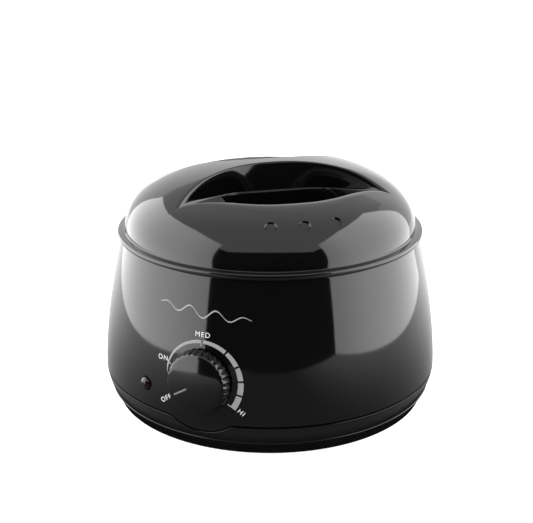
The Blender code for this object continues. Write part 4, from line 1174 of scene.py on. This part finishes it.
# Studio


def glow(name, low, high, axis=None, reach=(0.0, 1.0)):
    """An emitting finish whose strength runs from low to high along one axis of the object."""
    made, tree = new_material(name, clear=True)
    light = add_node(tree, "ShaderNodeEmission", Strength=low)
    if axis is not None:
        place = tree.nodes.new("ShaderNodeTexCoord").outputs["Object"]
        along = add_node(tree, "ShaderNodeSeparateXYZ", {"Vector": place}).outputs[axis]
        tree.links.new(map_range(tree, along, *reach, low, high, smooth=True), light.inputs["Strength"])
    add_node(tree, "ShaderNodeOutputMaterial", {"Surface": light.outputs["Emission"]})
    return made


def panel(name, corners, material):
    """A flat stage panel with corners in metres, given as the camera faces +Y."""
    mesh = bpy.data.meshes.new(name)
    mesh.from_pydata(corners, [], [(0, 1, 2, 3)])
    made = link(name, mesh)
    made.matrix_world = VIEW_TURN
    made.data.materials.append(material)
    made.visible_camera = False
    return made


def level_corners(wide, near, rear, z):
    """Corners of a level rectangle that reaches wide to both sides."""
    return [(-wide, near, z), (wide, near, z), (wide, rear, z), (-wide, rear, z)]


def floor_sheen():
    """What the gloss sees of the floor: dim in front of the object, bright beside and behind it."""
    sheen, tree = new_material("floor_sheen", clear=True)
    place = tree.nodes.new("ShaderNodeTexCoord").outputs["Object"]
    split = add_node(tree, "ShaderNodeSeparateXYZ", {"Vector": place})

    def ramp(source, *limits):
        return map_range(tree, source, *limits, smooth=True)

    beside = ramp(math_node(tree, "ABSOLUTE", split.outputs["X"]), 0.05, 0.3, 0.16, 1.0)
    behind = ramp(split.outputs["Y"], -0.1, 0.25, 0.0, 1.1)
    length = add_node(tree, "ShaderNodeVectorMath", {0: place})
    length.operation = "LENGTH"
    # Painted contact shade: the card's light is dimmed close round the object, where the floor would lie in
    # its shade.
    contact = ramp(length.outputs["Value"], 0.088, 0.1, 0.03, 1.0)
    total = math_node(tree, "MULTIPLY", math_node(tree, "ADD", beside, behind), contact)
    light = add_node(tree, "ShaderNodeEmission", {"Strength": total})
    add_node(tree, "ShaderNodeOutputMaterial", {"Surface": light.outputs["Emission"]})
    return sheen


def pale_floor():
    """White from above and clear from below."""
    pale, tree = new_material("floor_pale")
    shader = tree.nodes["Principled BSDF"]
    shader.inputs["Base Color"].default_value = (0.82, 0.82, 0.82, 1)
    shader.inputs["Roughness"].default_value = 0.9
    shader.inputs["Emission Color"].default_value = (1, 1, 1, 1)
    shader.inputs["Emission Strength"].default_value = 1.0
    under = tree.nodes.new("ShaderNodeNewGeometry").outputs["Backfacing"]
    clear = tree.nodes.new("ShaderNodeBsdfTransparent").outputs["BSDF"]
    seen = add_node(tree, "ShaderNodeMixShader", {0: under, 1: shader.outputs["BSDF"], 2: clear})
    tree.links.new(seen.outputs["Shader"], tree.nodes["Material Output"].inputs["Surface"])
    return pale


def build_studio():
    """Two tall soft panels beside the object, one overhead, one behind, and a white floor."""
    side, front, top, foot = 0.30, -0.357, 0.46, 0.002
    fade = (front, -0.1)
    left = [(-side, front, foot), (-side, 0.34, foot), (-side, 0.34, top - 0.1), (-side, front, top)]
    panel("panel_left", left, glow("soft_left", 3.2, 4.3, "Y", fade))
    right = [(side, front, foot), (side, 0.21, foot), (side, 0.21, top), (side, front, top)]
    panel("panel_right", right, glow("soft_right", 3.0, 4.4, "Y", fade))
    rear = 0.9
    panel("panel_over", level_corners(0.66, -1.0, rear, 0.72), glow("soft_over", 1.15, 1.15))
    panel("panel_rear", [(-1.2, rear, 0.0), (1.2, rear, 0.0), (1.2, rear, 1.4), (-1.2, rear, 1.4)],
          glow("soft_rear", 1.5, 1.5))
    mirror = panel("floor_sheen", level_corners(1.5, -0.363, rear, -0.0005), floor_sheen())
    mirror.visible_diffuse = False
    mirror.visible_shadow = False

    mesh = bpy.data.meshes.new("floor")
    reach = 4.0
    mesh.from_pydata(level_corners(reach, -reach, reach, 0), [], [(0, 1, 2, 3)])
    floor = link("floor", mesh)
    floor.location.z = -0.0002
    floor.data.materials.append(pale_floor())
    floor.visible_glossy = False


def build_world():
    """White to the camera and nearly black to the object."""
    world = bpy.data.worlds.new("studio")
    world.use_nodes = True
    tree = world.node_tree
    shown = tree.nodes["Background"]
    shown.inputs["Color"].default_value = (1, 1, 1, 1)
    shown.inputs["Strength"].default_value = 1.0
    dark = add_node(tree, "ShaderNodeBackground", Color=(0.02, 0.02, 0.02, 1)).outputs["Background"]
    seen = tree.nodes.new("ShaderNodeLightPath").outputs["Is Camera Ray"]
    mix = add_node(tree, "ShaderNodeMixShader", {0: seen, 1: dark, 2: shown.outputs["Background"]})
    tree.links.new(mix.outputs["Shader"], tree.nodes["World Output"].inputs["Surface"])
    bpy.context.scene.world = world
    bpy.context.scene.view_settings.view_transform = "Standard"


def build_camera():
    data = bpy.data.cameras.new("camera")
    data.sensor_width = 36
    data.lens = VIEW_LENS
    data.shift_x, data.shift_y = VIEW_SHIFT
    camera = link("camera", data)
    back = facing(radians(VIEW_AZIMUTH), radians(VIEW_ELEVATION))
    camera.location = VIEW_AIM + back * VIEW_DISTANCE
    camera.rotation_mode = "QUATERNION"
    camera.rotation_quaternion = (-back).to_track_quat("-Z", "Y")
    bpy.context.scene.camera = camera


build_housing()
build_base()
build_feet_and_screws()
build_lid()
build_knob()
build_print()
build_flourish()
build_lens()
build_gland()
build_well()
build_pot()
build_bail()
finish_inner_nodes()
build_studio()
build_world()
build_camera()
